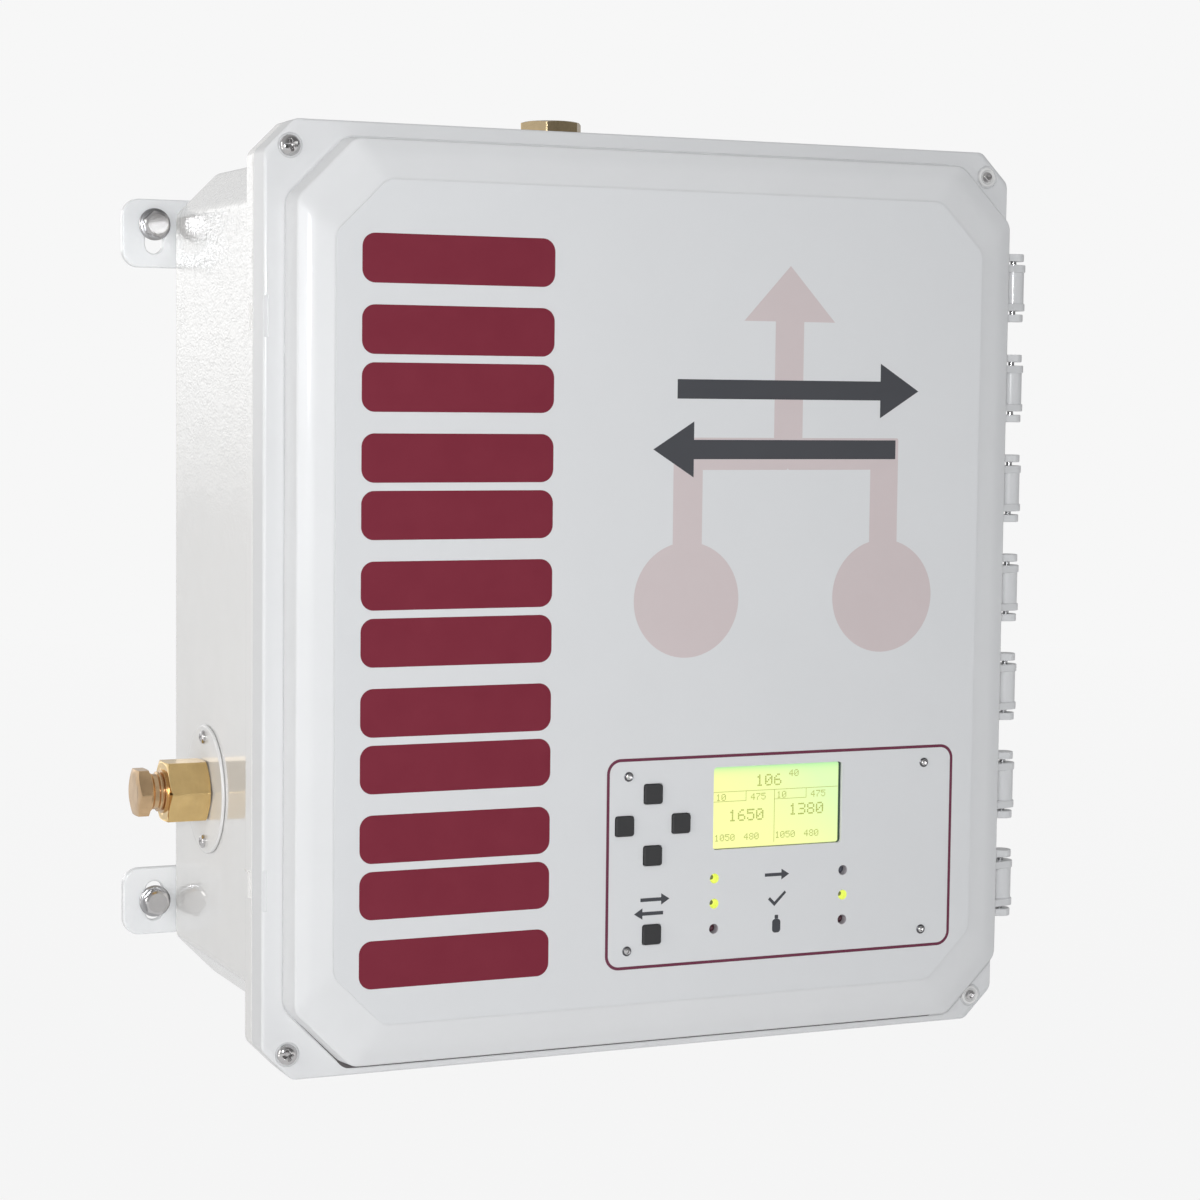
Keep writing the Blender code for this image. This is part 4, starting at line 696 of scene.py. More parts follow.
@dataclass(frozen=True)
class Finish:
    """One surface finish, with the values that its material takes."""

    name: str
    colour: Colour
    shade: Colour
    roughness: float
    metallic: float = 0.0
    mottle_scale: float = 30.0
    mottle: float = 0.3
    gloss_change: float = 0.06
    coat: float = 0.0
    coat_roughness: float = 0.05
    wave_scale: float = 90.0
    fibre_scale: float = 420.0
    wave: float = 1.0
    fibre: float = 0.3
    relief: float = 0.0
    wear: float = 0.0
    wear_colour: Colour = (0.9, 0.9, 0.9)
    dust: float = 0.0
    tool_direction: tuple[float, float, float] | None = None
    tool_pitch: float = 2500.0
    glow: float = 0.0
    subsurface: float = 0.0
    specular: float = 0.5
    fade: tuple[float, float] = (-10.0, -9.0)

    def build(self, groups: ShaderGroups) -> Material:
        """Make the material.

        Args:
            groups: The shared node groups.

        Returns:
            The material.
        """
        material, tree, node = new_material(self.name)
        shader = node.inputs
        shader["Metallic"].default_value = self.metallic
        shader["Coat Weight"].default_value = self.coat
        shader["Coat Roughness"].default_value = self.coat_roughness
        shader["Specular IOR Level"].default_value = self.specular
        if self.subsurface:
            shader["Subsurface Weight"].default_value = self.subsurface
            shader["Subsurface Radius"].default_value = (1.0, 1.0, 1.0)
            shader["Subsurface Scale"].default_value = SUBSURFACE_REACH
        mottle = self._place(tree, groups.mottle, {
            "Colour": (*self.colour, 1), "Shade": (*self.shade, 1), "Scale": self.mottle_scale,
            "Amount": self.mottle, "Gloss": self.roughness, "Gloss Change": self.gloss_change})
        marks = None
        if self.tool_direction:
            marks = self._place(tree, groups.turned, {"Direction": self.tool_direction, "Pitch": self.tool_pitch})
        colour = self._coloured(tree, groups, mottle["Colour"], marks)
        feed(tree, shader["Base Color"], colour)
        feed(tree, shader["Roughness"], mottle["Roughness"])
        normal = self._normal(tree, groups, marks)
        if normal:
            feed(tree, shader["Normal"], normal)
            feed(tree, shader["Coat Normal"], normal)
        if self.glow:
            feed(tree, shader["Emission Color"], colour)
            shader["Emission Strength"].default_value = self.glow
        return material

    def _coloured(self, tree: NodeTree, groups: ShaderGroups, colour: NodeSocket,
                  marks: Outputs | None) -> NodeSocket:
        """Lay wear, dust and tarnish over the colour.

        Args:
            tree: The material's tree.
            groups: The shared node groups.
            colour: The mottled colour.
            marks: The tool marks' outputs, if the surface is machined.

        Returns:
            The colour to show.
        """
        if self.wear:
            mask = self._place(tree, groups.wear, {"Amount": self.wear})["Mask"]
            colour = blend(tree, mask, colour, (*self.wear_colour, 1))
        if self.dust:
            mask = self._place(tree, groups.dust, {"Amount": self.dust})["Mask"]
            colour = blend(tree, mask, colour, (*DUST_COLOUR, 1))
        if marks:
            share = compute(tree, "MULTIPLY", marks["Tarnish"], TARNISH_AMOUNT)
            colour = blend(tree, share, colour, (*(TARNISH_DARKENING * value for value in self.shade), 1))
        return colour

    def _normal(self, tree: NodeTree, groups: ShaderGroups,
                marks: Outputs | None) -> NodeSocket | None:
        """The normal with the tool marks and the moulded skin in it.

        Args:
            tree: The material's tree.
            groups: The shared node groups.
            marks: The tool marks' outputs, if the surface is machined.

        Returns:
            The normal, if the finish has either.
        """
        heights = []
        if marks:
            heights.append((marks["Height"], TOOL_MARK_DEPTH))
        if self.relief:
            skin = self._place(tree, groups.peel, {
                "Wave Scale": self.wave_scale, "Fibre Scale": self.fibre_scale, "Wave": self.wave,
                "Fibre": self.fibre, "Fade Low": self.fade[0], "Fade High": self.fade[1]})
            heights.append((skin["Height"], self.relief))
        normal = None
        for height, distance in heights:
            bump = add_node(tree, "Bump", {"Height": height, "Distance": distance})
            if normal:
                feed(tree, bump.inputs["Normal"], normal)
            normal = bump.outputs["Normal"]
        return normal

    @staticmethod
    def _place(tree: NodeTree, group: NodeTree, values: dict[str, Value]) -> Outputs:
        """Put a group in a material with its own values, and give its outputs."""
        node = add_node(tree, "Group", node_tree=group)
        for label, value in values.items():
            node.inputs[label].default_value = value
        return node.outputs


FINISHES = {
    "lid": Finish("lid_gelcoat", (0.735, 0.738, 0.742), (0.705, 0.708, 0.712), 0.40, mottle=0.4, coat=0.35,
                  coat_roughness=0.10, specular=0.35, relief=0.04 * MM, wave_scale=55, fibre=0.03,
                  fibre_scale=500, dust=0.05),
    "body": Finish("body_gelcoat", (0.80, 0.792, 0.775), (0.755, 0.745, 0.73), 0.24, mottle=0.5, mottle_scale=45,
                   coat=1.0, coat_roughness=0.02, relief=0.30 * MM, wave_scale=230, fibre=0.5, fibre_scale=330,
                   dust=0.05, fade=(0.02, 0.15)),
    "film": Finish("printed_film", (0.712, 0.718, 0.725), (0.69, 0.697, 0.704), 0.46, mottle=0.4, mottle_scale=18,
                   specular=0.3, relief=0.012 * MM, wave_scale=700, fibre=0.2, fibre_scale=1500),
    "maroon": Finish("maroon_ink", (0.190, 0.021, 0.039), (0.208, 0.026, 0.045), 0.55, mottle=0.6,
                     specular=0.15, mottle_scale=60, relief=0.006 * MM, wave_scale=1200, fibre=0.1),
    "line": Finish("maroon_line_ink", (0.15, 0.035, 0.065), (0.18, 0.05, 0.08), 0.55, mottle=0.4, specular=0.15),
    "pale_ink": Finish("pale_rose_ink", (0.625, 0.545, 0.545), (0.60, 0.52, 0.52), 0.50, mottle=0.5,
                       specular=0.3, mottle_scale=40),
    "dark_ink": Finish("dark_grey_ink", (0.070, 0.072, 0.080), (0.060, 0.062, 0.070), 0.5, mottle=0.4,
                       specular=0.2),
    "key": Finish("key_rubber", (0.042, 0.042, 0.043), (0.034, 0.034, 0.036), 0.58, mottle=0.5, relief=0.01 * MM,
                  specular=0.3, wave_scale=900, wear=0.2, wear_colour=(0.12, 0.12, 0.125)),
    "stainless": Finish("stainless_steel", (0.62, 0.61, 0.61), (0.50, 0.49, 0.50), 0.14, metallic=1.0,
                        mottle_scale=200, gloss_change=0.10, wear=0.4),
    # Dark steel of the rings round the panel screws: painted shadow round each head.
    "dark_steel": Finish("painted_shadow_ring", (0.16, 0.16, 0.17), (0.12, 0.12, 0.13), 0.30, metallic=1.0,
                         mottle_scale=200),
    "pin": Finish("hinge_pin_steel", (0.48, 0.48, 0.49), (0.38, 0.38, 0.39), 0.26, metallic=1.0, mottle_scale=200),
    "foot": Finish("clear_white_polymer", (0.86, 0.87, 0.88), (0.82, 0.83, 0.84), 0.18, coat=0.7, mottle=0.4,
                   subsurface=0.25, relief=0.03 * MM, wave_scale=120, fibre=0.05),
    "brass_x": Finish("brass_turned_across", (0.90, 0.64, 0.28), (0.74, 0.50, 0.20), 0.19, metallic=1.0,
                      mottle_scale=120, gloss_change=0.12, tool_direction=(1.0, 0.0, 0.0), wear=0.3,
                      wear_colour=(0.90, 0.70, 0.40)),
    "brass_z": Finish("brass_turned_upright", (0.78, 0.61, 0.37), (0.66, 0.50, 0.29), 0.20, metallic=1.0,
                      mottle_scale=120, gloss_change=0.12, tool_direction=(0.0, 0.0, 1.0), wear=0.3,
                      wear_colour=(0.90, 0.72, 0.45)),
    "plug": Finish("plug_brass", (0.76, 0.53, 0.31), (0.64, 0.43, 0.24), 0.22, metallic=1.0,
                   mottle_scale=140, gloss_change=0.12, tool_direction=(1.0, 0.0, 0.0), tool_pitch=3200, wear=0.3,
                   wear_colour=(0.88, 0.62, 0.40)),
    "copper": Finish("copper_pipe", (0.70, 0.36, 0.22), (0.50, 0.22, 0.13), 0.28, metallic=1.0, mottle_scale=60,
                     mottle=0.7, gloss_change=0.15),
    "cover": Finish("cover_paint", (0.79, 0.785, 0.775), (0.76, 0.755, 0.745), 0.25, coat=0.8,
                    coat_roughness=0.04, relief=0.02 * MM, wave_scale=160, fibre=0.1),
    "plate": Finish("zinc_plated_sheet", (0.60, 0.61, 0.60), (0.45, 0.46, 0.46), 0.36, metallic=1.0,
                    mottle_scale=70, mottle=0.8, gloss_change=0.2),
    "seal": Finish("seal_foam", (0.05, 0.05, 0.05), (0.035, 0.035, 0.035), 0.85, relief=0.06 * MM,
                   wave_scale=1500, fibre=0.5, fibre_scale=1800),
    # Dark colour of the painted shadow strip under the lid's raised part.
    "bead": Finish("painted_shadow_line", (0.115, 0.105, 0.105), (0.085, 0.08, 0.08), 0.6, specular=0.2),
    "black": Finish("black_moulding", (0.028, 0.028, 0.03), (0.02, 0.02, 0.022), 0.42, relief=0.02 * MM,
                    wave_scale=1100, wear=0.3, wear_colour=(0.12, 0.12, 0.12)),
    "board": Finish("solder_mask", (0.012, 0.12, 0.05), (0.008, 0.09, 0.04), 0.35, coat=0.4, mottle=0.6,
                    mottle_scale=140),
    "aluminium": Finish("extruded_aluminium", (0.66, 0.67, 0.68), (0.58, 0.59, 0.60), 0.34, metallic=1.0,
                        tool_direction=(0.0, 0.0, 1.0), tool_pitch=4000, mottle_scale=90),
    "grey": Finish("terminal_polymer", (0.52, 0.53, 0.53), (0.47, 0.48, 0.48), 0.4, relief=0.015 * MM,
                   wave_scale=1000),
    "liner": Finish("window_liner", (0.03, 0.065, 0.045), (0.025, 0.05, 0.035), 0.45),
    "lamp_green": Finish("lit_lamp", (0.62, 0.68, 0.13), (0.70, 0.74, 0.20), 0.12, coat=0.6, mottle=0.8,
                         mottle_scale=500, glow=0.42),
    # Colour of the painted shade on the upper left of a lit lamp's lens.
    "lamp_core": Finish("lit_lamp_core", (0.13, 0.14, 0.05), (0.20, 0.22, 0.08), 0.10, coat=0.8, mottle=0.8,
                        mottle_scale=900),
    "lamp_off": Finish("unlit_lamp", (0.075, 0.078, 0.10), (0.055, 0.057, 0.075), 0.12, coat=0.8, mottle=0.5),
    "lamp_red": Finish("unlit_red_lamp", (0.065, 0.010, 0.022), (0.045, 0.008, 0.016), 0.12, coat=0.8),
    "lamp_cup": Finish("lamp_cup", (0.48, 0.45, 0.47), (0.42, 0.40, 0.42), 0.35),
    "pipe": Finish("light_pipe_acrylic", (0.42, 0.43, 0.44), (0.36, 0.37, 0.38), 0.15, coat=0.5),
    "pixel": Finish("display_pixel", (0.42, 0.47, 0.10), (0.47, 0.52, 0.13), 0.3, glow=0.10),
}


class DisplayGlow:
    """The back-lit cell: warm yellow at the lower left, green towards the upper right."""

    LOW: Colour = (0.97, 0.99, 0.39)
    HIGH: Colour = (0.74, 0.97, 0.47)
    EDGE: Colour = (0.42, 0.86, 0.36)
    BASE: Colour = (0.03, 0.03, 0.02)
    STRENGTH: float = 1.0
    ROUGHNESS: float = 0.25
    SIDE_POWER: float = 3.0
    SIDE_SHARE: float = 0.5
    TOP_POWER: float = 22.0

    def build(self, low: Vector, high: Vector) -> Material:
        """Make the material for a cell between two corners.

        Args:
            low: The cell's lowest corner.
            high: The cell's highest corner.

        Returns:
            The material.
        """
        material, tree, shader = new_material("display_glow")
        place = add_node(tree, "TexCoord").outputs["Object"]
        split = add_node(tree, "SeparateXYZ", {0: place}).outputs
        across = ramp(tree, split["X"], low.x, high.x)
        up = ramp(tree, split["Z"], low.z, high.z)
        side = compute(tree, "POWER", across, self.SIDE_POWER)
        share = compute(tree, "MULTIPLY_ADD", side, self.SIDE_SHARE, compute(tree, "MULTIPLY", across, up),
                        clamp=True)
        field_colour = blend(tree, share, (*self.LOW, 1), (*self.HIGH, 1))
        top = compute(tree, "POWER", up, self.TOP_POWER)
        shader.inputs["Base Color"].default_value = (*self.BASE, 1)
        feed(tree, shader.inputs["Emission Color"], blend(tree, top, field_colour, (*self.EDGE, 1)))
        shader.inputs["Emission Strength"].default_value = self.STRENGTH
        shader.inputs["Roughness"].default_value = self.ROUGHNESS
        return material


# The object


@dataclass(frozen=True)
class CabinetSizes:
    """The driving sizes of the mouldings, as the model has them."""

    lid: Section = Section(190.3 * MM, 215.0 * MM, 14.5 * MM, 5.0 * MM)
    ledge: float = 8.3 * MM
    pillow_cut: float = 27.5 * MM
    pillow_radius: float = 9.0 * MM
    shoulder: float = 17.2 * MM
    face_cut: float = 24.0 * MM
    body_inset: float = 11.6 * MM
    body_cut: float = 21.5 * MM
    body_radius: float = 7.0 * MM
    rear_y: float = -5.3 * MM
    rear_radius: float = 6.0 * MM
    wall: float = 3.6 * MM
    floor: float = 4.0 * MM
    seam_y: float = -179.0 * MM
    seam_gap: float = 0.3 * MM
    rim_depth: float = 16.0 * MM
    flange: float = 10.5 * MM
    pillow_growth: Point2 = (0.5 * MM, 1.6 * MM)
    pillow_offset: Point2 = (2.3 * MM, -0.7 * MM)
    face_offset: float = 1.2 * MM
    step: float = 13.7 * MM
    face_height: float = 17.9 * MM
    lid_wall: float = 3.2 * MM
    groove_cut: float = 31.0 * MM
    groove_width: float = 7.7 * MM
    rib: float = 1.8 * MM
    rib_height: float = 7.0 * MM
    tongue: float = 2.5 * MM
    tongue_height: float = 6.9 * MM
    hinge_offset: float = 14.2 * MM
    hinge_pitch: float = 50.0 * MM
    hinge_count: int = 7

    @property
    def pillow(self) -> Section:
        """The foot of the raised part of the lid."""
        return Section(self.lid.half_width - self.ledge + self.pillow_growth[0],
                       self.lid.half_height - self.ledge + self.pillow_growth[1], self.pillow_cut,
                       self.pillow_radius, *self.pillow_offset)

    @property
    def face(self) -> Section:
        """The flat face of the lid."""
        inset = self.ledge + self.shoulder
        return Section(self.lid.half_width - inset, self.lid.half_height - inset, self.face_cut,
                       self.pillow_radius, self.face_offset)

    @property
    def body(self) -> Section:
        """The outside of the cabinet body."""
        return Section(self.lid.half_width - self.body_inset, self.lid.half_height - self.body_inset,
                       self.body_cut, self.body_radius)

    @property
    def groove(self) -> Section:
        """The outer wall of the seal groove."""
        return Section(self.lid.half_width - self.lid_wall, self.lid.half_height - self.lid_wall,
                       self.groove_cut, self.pillow_radius)

    @property
    def ledge_y(self) -> float:
        """The depth of the lid's ledge."""
        return self.seam_y - self.rim_depth

    @property
    def face_y(self) -> float:
        """The depth of the flat face, under the film."""
        return self.ledge_y - self.face_height

    @property
    def hinge_x(self) -> float:
        """Where the hinge axis is, across."""
        return self.lid.half_width + self.hinge_offset

    @property
    def hinge_levels(self) -> list[float]:
        """The middle of each hinge station."""
        return [(index - (self.hinge_count - 1) / 2) * self.hinge_pitch for index in range(self.hinge_count)]


@dataclass
class Shells:
    """The moulded body and lid, with their hinge knuckles."""

    sizes: CabinetSizes
    materials: dict[str, Material]
    wall_hole: float = 19.0 * MM
    port_hole: float = 10.0 * MM
    screw_hole: float = 2.9 * MM
    screw_recess: float = 5.6 * MM
    recess_depth: float = 0.8 * MM
    notch: Point3 = (2.2 * MM, 0.6 * MM, 18.5 * MM)
    pad: Point3 = (1.2 * MM, 6.5 * MM, 12.0 * MM)
    latch_level: float = 128.0 * MM
    standoff_radius: float = 6.0 * MM
    boss_radius: float = 4.0 * MM
    boss_reach: float = 8.1 * MM
    window_radius: float = 1.6 * MM
    # Size and sag of the painted shadow strip under the raised part.
    window_gap: float = 0.3 * MM
    shadow_line_height: float = 0.12 * MM
    shadow_line_depth: float = 0.3 * MM
    shadow_line_sag: float = 1.8 * MM
    shadow_line_corner: float = 0.8 * MM
    flange_inset: float = 0.1 * MM
    flange_fillet: float = 2.4 * MM
    flange_edge: float = 0.8 * MM
    tongue_edge: float = 0.7 * MM
    tongue_root: float = 0.3 * MM
    floor_inset: float = 16.0 * MM
    face_edge: float = 2.0 * MM
    shoulder_bend: float = 30.0 * MM
    step_edge: float = 1.5 * MM
    rim_front: float = 1.3 * MM
    rim_back: float = 0.4 * MM
    groove_lip: float = 0.15 * MM
    groove_edge: float = 0.3 * MM
    pocket_fillet: float = 3.0 * MM
    draft: float = 1.0 * MM
    foot_step: float = 0.2 * MM
    foot_groove: float = 0.6 * MM
    shoulder_share: float = 0.62
    shoulder_fall: float = 1.9 * MM
    cap_inset: float = 20.0 * MM
    screw_bore: float = 3.3 * MM
    screw_bore_depth: float = 7.0 * MM
    recess_rim: tuple[Point2, ...] = ((-0.5 * MM, 0.0), (0.0, 0.4 * MM), (0.4 * MM, 2.0 * MM))
    ear_thickness: float = 3.7 * MM
    ear_gap: float = 1.7 * MM
    station_length: float = 33.7 * MM
    body_ear: float = 5.2 * MM
    body_ear_root: Point3 = (-3.5 * MM, 1.5 * MM, 9.7 * MM)
    lid_ear: float = 6.0 * MM
    lid_ear_root: Point3 = (-1.5 * MM, -9.5 * MM, -1.2 * MM)
    barrel: float = 5.4 * MM
    pin: float = 1.5 * MM
    pin_tip: float = 0.9 * MM
    pin_taper: float = 0.4 * MM
    ear_bevel: float = 0.45 * MM
    key_hole: float = 9.8 * MM
    key_hole_radius: float = 1.3 * MM
    lamp_hole: float = 2.4 * MM
    key_nodes: tuple[str, ...] = ("key_up", "key_left", "key_right", "key_down", "key_bank")
    lamp_levels: tuple[float, ...] = (-132.0 * MM, -144.0 * MM, -156.0 * MM)

    def build(self) -> None:
        """Build both shells and dress them."""
        self._body()
        self._lid()
        self._knuckles()

    def _body(self) -> None:
        """The body: a deep tray with a flange round its mouth."""
        s = self.sizes
        flange_rear = s.seam_y + s.flange
        flange = s.lid.grown(-self.flange_inset)
        tongue = s.groove.grown((s.tongue - s.groove_width) / 2)
        inside = s.body.grown(-s.wall)
        floor_y = s.rear_y - s.floor
        tongue_y = s.seam_y - s.tongue_height
        stations = [
            Station(s.body.grown(-self.cap_inset), s.rear_y),
            Station(s.body, s.rear_y, s.rear_radius),
            Station(s.body, flange_rear, self.flange_fillet),
            Station(flange, flange_rear, self.flange_edge),
            Station(flange, s.seam_y, self.flange_edge),
            Station(tongue, s.seam_y, self.tongue_root),
            Station(tongue, tongue_y, self.tongue_edge),
            Station(tongue.grown(-s.tongue), tongue_y, self.tongue_edge),
            Station(tongue.grown(-s.tongue), s.seam_y, self.tongue_root),
            Station(inside, s.seam_y, self.flange_edge),
            Station(inside, floor_y, s.rear_radius - s.wall),
            Station(inside.grown(-self.floor_inset), floor_y),
        ]
        bm = bmesh.new()
        add_loft(bm, soften(stations))
        piece = make_piece("cabinet_body", bm, self.materials["body"])
        bm = bmesh.new()
        pad_x, pad_y, pad_z = self.pad
        middle = (s.seam_y + flange_rear) / 2
        for level in Level:
            z = level.value * self.latch_level
            add_box(bm, (-flange.half_width - pad_x, middle - pad_y / 2, z - pad_z / 2),
                    (-flange.half_width + pad_x, middle + pad_y / 2, z + pad_z / 2))
        plate_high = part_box("mounting_plate")[1]
        reach = floor_y - plate_high.y - s.seam_gap
        for x, z in inset_corners("mounting_plate", PLATE_SCREW_INSET):
            add_turned(bm, [(self.standoff_radius, -s.floor / 2), (self.standoff_radius, reach)],
                       (x, floor_y, z), (0, -1, 0), steps=32)
        combine(piece, bm, "UNION")
        bm = bmesh.new()
        port = box_centre("inlet_fitting_left")
        for side in Side:
            add_turned(bm, [(self.wall_hole, -2 * s.wall), (self.wall_hole, 2 * s.wall)],
                       (side.value * s.body.half_width, port.y, port.z), (1, 0, 0), steps=64)
        outlet = box_centre("outlet_fitting")
        add_turned(bm, [(self.port_hole, -2 * s.wall), (self.port_hole, 2 * s.wall)],
                   (outlet.x, outlet.y, s.body.half_height), (0, 0, 1), steps=64)
        for low, high in screw_boxes():
            add_turned(bm, [(self.screw_bore, -CUT_MARGIN), (self.screw_bore, self.screw_bore_depth)],
                       ((low.x + high.x) / 2, s.seam_y, (low.z + high.z) / 2), (0, 1, 0), steps=24)
        combine(piece, bm)
        finish_edges(piece)
        dress(piece, "cabinet", ["body_shell"])

    def _lid(self) -> None:
        """The lid: a ledge, a step, a sloped shoulder and a flat face with the control openings."""
        s = self.sizes
        step_y = s.ledge_y - s.step
        lid_back = s.seam_y - s.seam_gap
        groove_floor = s.ledge_y + s.lid_wall
        groove_inner = s.groove.grown(-s.groove_width)
        pocket = groove_inner.grown(-s.rib)
        groove = self.foot_groove
        step_top = s.pillow.grown(-self.draft)
        foot, groove_edge = s.pillow.grown(self.foot_step), s.pillow.grown(self.foot_step + groove)
        stations = [
            Station(s.face.grown(-self.cap_inset), s.face_y),
            Station(s.face, s.face_y, self.face_edge),
            Station(s.face.blend(step_top, self.shoulder_share), s.face_y + self.shoulder_fall,
                    self.shoulder_bend),
            Station(step_top, step_y, self.step_edge),
            Station(foot, s.ledge_y),
            Station(foot, s.ledge_y + groove),
            Station(groove_edge, s.ledge_y + groove),
            Station(groove_edge, s.ledge_y, self.groove_lip),
            Station(s.lid, s.ledge_y, self.rim_front),
            Station(s.lid, lid_back, self.rim_back),
            Station(s.groove, lid_back, self.groove_edge),
            Station(s.groove, groove_floor, self.groove_edge),
            Station(groove_inner, groove_floor, self.groove_edge),
            Station(groove_inner, groove_floor + s.rib_height, self.groove_edge),
            Station(pocket, groove_floor + s.rib_height, self.groove_edge),
            Station(pocket, step_y + s.lid_wall, self.pocket_fillet),
            Station(s.face.grown(-self.draft), s.face_y + s.lid_wall, self.face_edge),
            Station(s.face.grown(-self.cap_inset), s.face_y + s.lid_wall),
        ]
        bm = bmesh.new()
        add_loft(bm, soften(stations, segments=5))
        piece = make_piece("cabinet_lid", bm, self.materials["lid"])
        inner_y = s.face_y + s.lid_wall
        bm = bmesh.new()
        for x, z in board_screw_places():
            add_turned(bm, [(self.boss_radius, -s.lid_wall / 2), (self.boss_radius, self.boss_reach)],
                       (x, inner_y, z), (0, 1, 0), steps=32)
        combine(piece, bm, "UNION")
        bm = bmesh.new()
        add_openings(bm, s.face_y - CUT_MARGIN, inner_y + CUT_MARGIN, self)
        depth = s.rim_depth - self.recess_depth
        profile = [(self.screw_hole, -CUT_MARGIN), (self.screw_hole, depth)]
        profile += [(self.screw_recess + out, depth + up) for out, up in self.recess_rim]
        for low, high in screw_boxes():
            add_turned(bm, profile, ((low.x + high.x) / 2, s.seam_y, (low.z + high.z) / 2), (0, -1, 0), steps=48)
        notch_x, notch_y, notch_z = self.notch
        for level in Level:
            z = level.value * self.latch_level
            add_box(bm, (-s.lid.half_width - CUT_MARGIN, s.ledge_y - CUT_MARGIN, z - notch_z / 2),
                    (-s.lid.half_width + notch_x, s.ledge_y + notch_y, z + notch_z / 2))
        combine(piece, bm)
        finish_edges(piece)
        dress(piece, "lid", ["lid_shell"])
        # Painted shadow strip under the raised part.
        self._bead()

    def _bead(self) -> None:
        """Painted shadow: a thin dark strip at the foot of the raised part, sagging downwards so that it shows
        only along the bottom and its corners, where the raised part's shadow falls on the ledge.
        """
        s = self.sizes
        foot, root = s.pillow.grown(self.foot_step / 2), s.pillow.grown(-2 * self.foot_step)
        front, back = s.ledge_y - self.shadow_line_height, s.ledge_y + self.shadow_line_depth
        lowest = foot.z - foot.half_height
        bend = foot.radius * (1 - math.cos(math.pi / 4))
        rings = []
        for section, y, sag in ((root, front, 0.0), (foot, front, 1.0), (foot, back, 1.0), (root, back, 0.0)):
            ring = section.ring(y)
            for point in ring:
                height = point.z - lowest
                straight, corner = max(1 - height / bend, 0.0), max(1 - height / foot.cut, 0.0)
                point.z -= sag * (self.shadow_line_sag * straight + self.shadow_line_corner * corner)
            rings.append(ring)
        bm = bmesh.new()
        add_loft(bm, rings, closed=True)
        bead = make_piece("lid_shadow_line", bm, self.materials["bead"])
        finish_edges(bead)
        dress(bead, "lid")

    def _knuckles(self) -> None:
        """The hinge stations: two ears on the body outside two ears and a barrel on the lid."""
        s = self.sizes
        ear = self.ear_thickness
        outer = (self.station_length - ear) / 2
        inner = outer - ear - self.ear_gap
        body_outline = self._ear_outline(self.body_ear, self.body_ear_root)
        lid_outline = self._ear_outline(self.lid_ear, self.lid_ear_root)
        for name, body, outline, reach in (("hinge_ears_body", "cabinet", body_outline, outer),
                                           ("hinge_ears_lid", "lid", lid_outline, inner)):
            bm = bmesh.new()
            for level in s.hinge_levels:
                for z in (level - reach, level + reach):
                    self._add_ear(bm, outline, z, ear)
            ears = make_piece(name, bm, self.materials["lid"])
            finish_edges(ears, self.ear_bevel)
            dress(ears, body)
        bm = bmesh.new()
        for level in s.hinge_levels:
            add_turned(bm, [(self.barrel, -inner), (self.barrel, inner)], (s.hinge_x, s.seam_y, level),
                       (0, 0, 1), steps=48)
        barrels = make_piece("hinge_barrels", bm, self.materials["lid"])
        finish_edges(barrels)
        dress(barrels, "lid")
        bm = bmesh.new()
        length = self.station_length / 2 - s.seam_gap
        for level in s.hinge_levels:
            add_turned(bm, [(self.pin_tip, -length), (self.pin, self.pin_taper - length),
                            (self.pin, length - self.pin_taper), (self.pin_tip, length)],
                       (s.hinge_x, s.seam_y, level), (0, 0, 1), steps=24)
        pins = make_piece("hinge_pins", bm, self.materials["pin"])
        finish_edges(pins)
        nodes = [f"hinge_pin_{index + 1}" for index in range(s.hinge_count)]
        dress(pins, "cabinet", nodes)

    def _ear_outline(self, radius: float, root: Point3) -> list[Point2]:
        """An ear in the XY plane: half a circle round the hinge axis, joined to its root.

        Args:
            radius: The radius of the half circle.
            root: The root's distance from the lid's edge, and its two depths from the seam.

        Returns:
            The outline.
        """
        s = self.sizes
        steps = 16
        arc = [math.pi / 2 - math.pi * step / steps for step in range(steps + 1)]
        curve = [(s.hinge_x + radius * math.cos(a), s.seam_y + radius * math.sin(a)) for a in arc]
        return curve + [(s.lid.half_width + root[0], s.seam_y + depth) for depth in root[1:]]

    @staticmethod
    def _add_ear(bm: BMesh, outline: list[Point2], level: float, thickness: float) -> None:
        """One ear, centred on a level."""
        add_loft(bm, [[Vector((x, y, level + share * thickness)) for x, y in outline] for share in (-0.5, 0.5)])


def box_centre(node: str) -> Vector:
    """The middle of a node's box."""
    low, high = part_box(node)
    return (low + high) / 2


def screw_boxes() -> list[tuple[Vector, Vector]]:
    """The boxes of the lid's corner screws."""
    return [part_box(f"lid_screw_{level.word}_{side.word}") for level in Level for side in Side]


def inset_corners(node: str, inset: float) -> list[Point2]:
    """The corners of a node's box seen from the front, moved inwards."""
    low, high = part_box(node)
    return [(x, z) for x in (low.x + inset, high.x - inset) for z in (low.z + inset, high.z - inset)]


def board_screw_places() -> list[Point2]:
    """Where the screws of the control panel are, in from the corners of the board behind it."""
    return inset_corners("control_board", BOARD_SCREW_INSET)


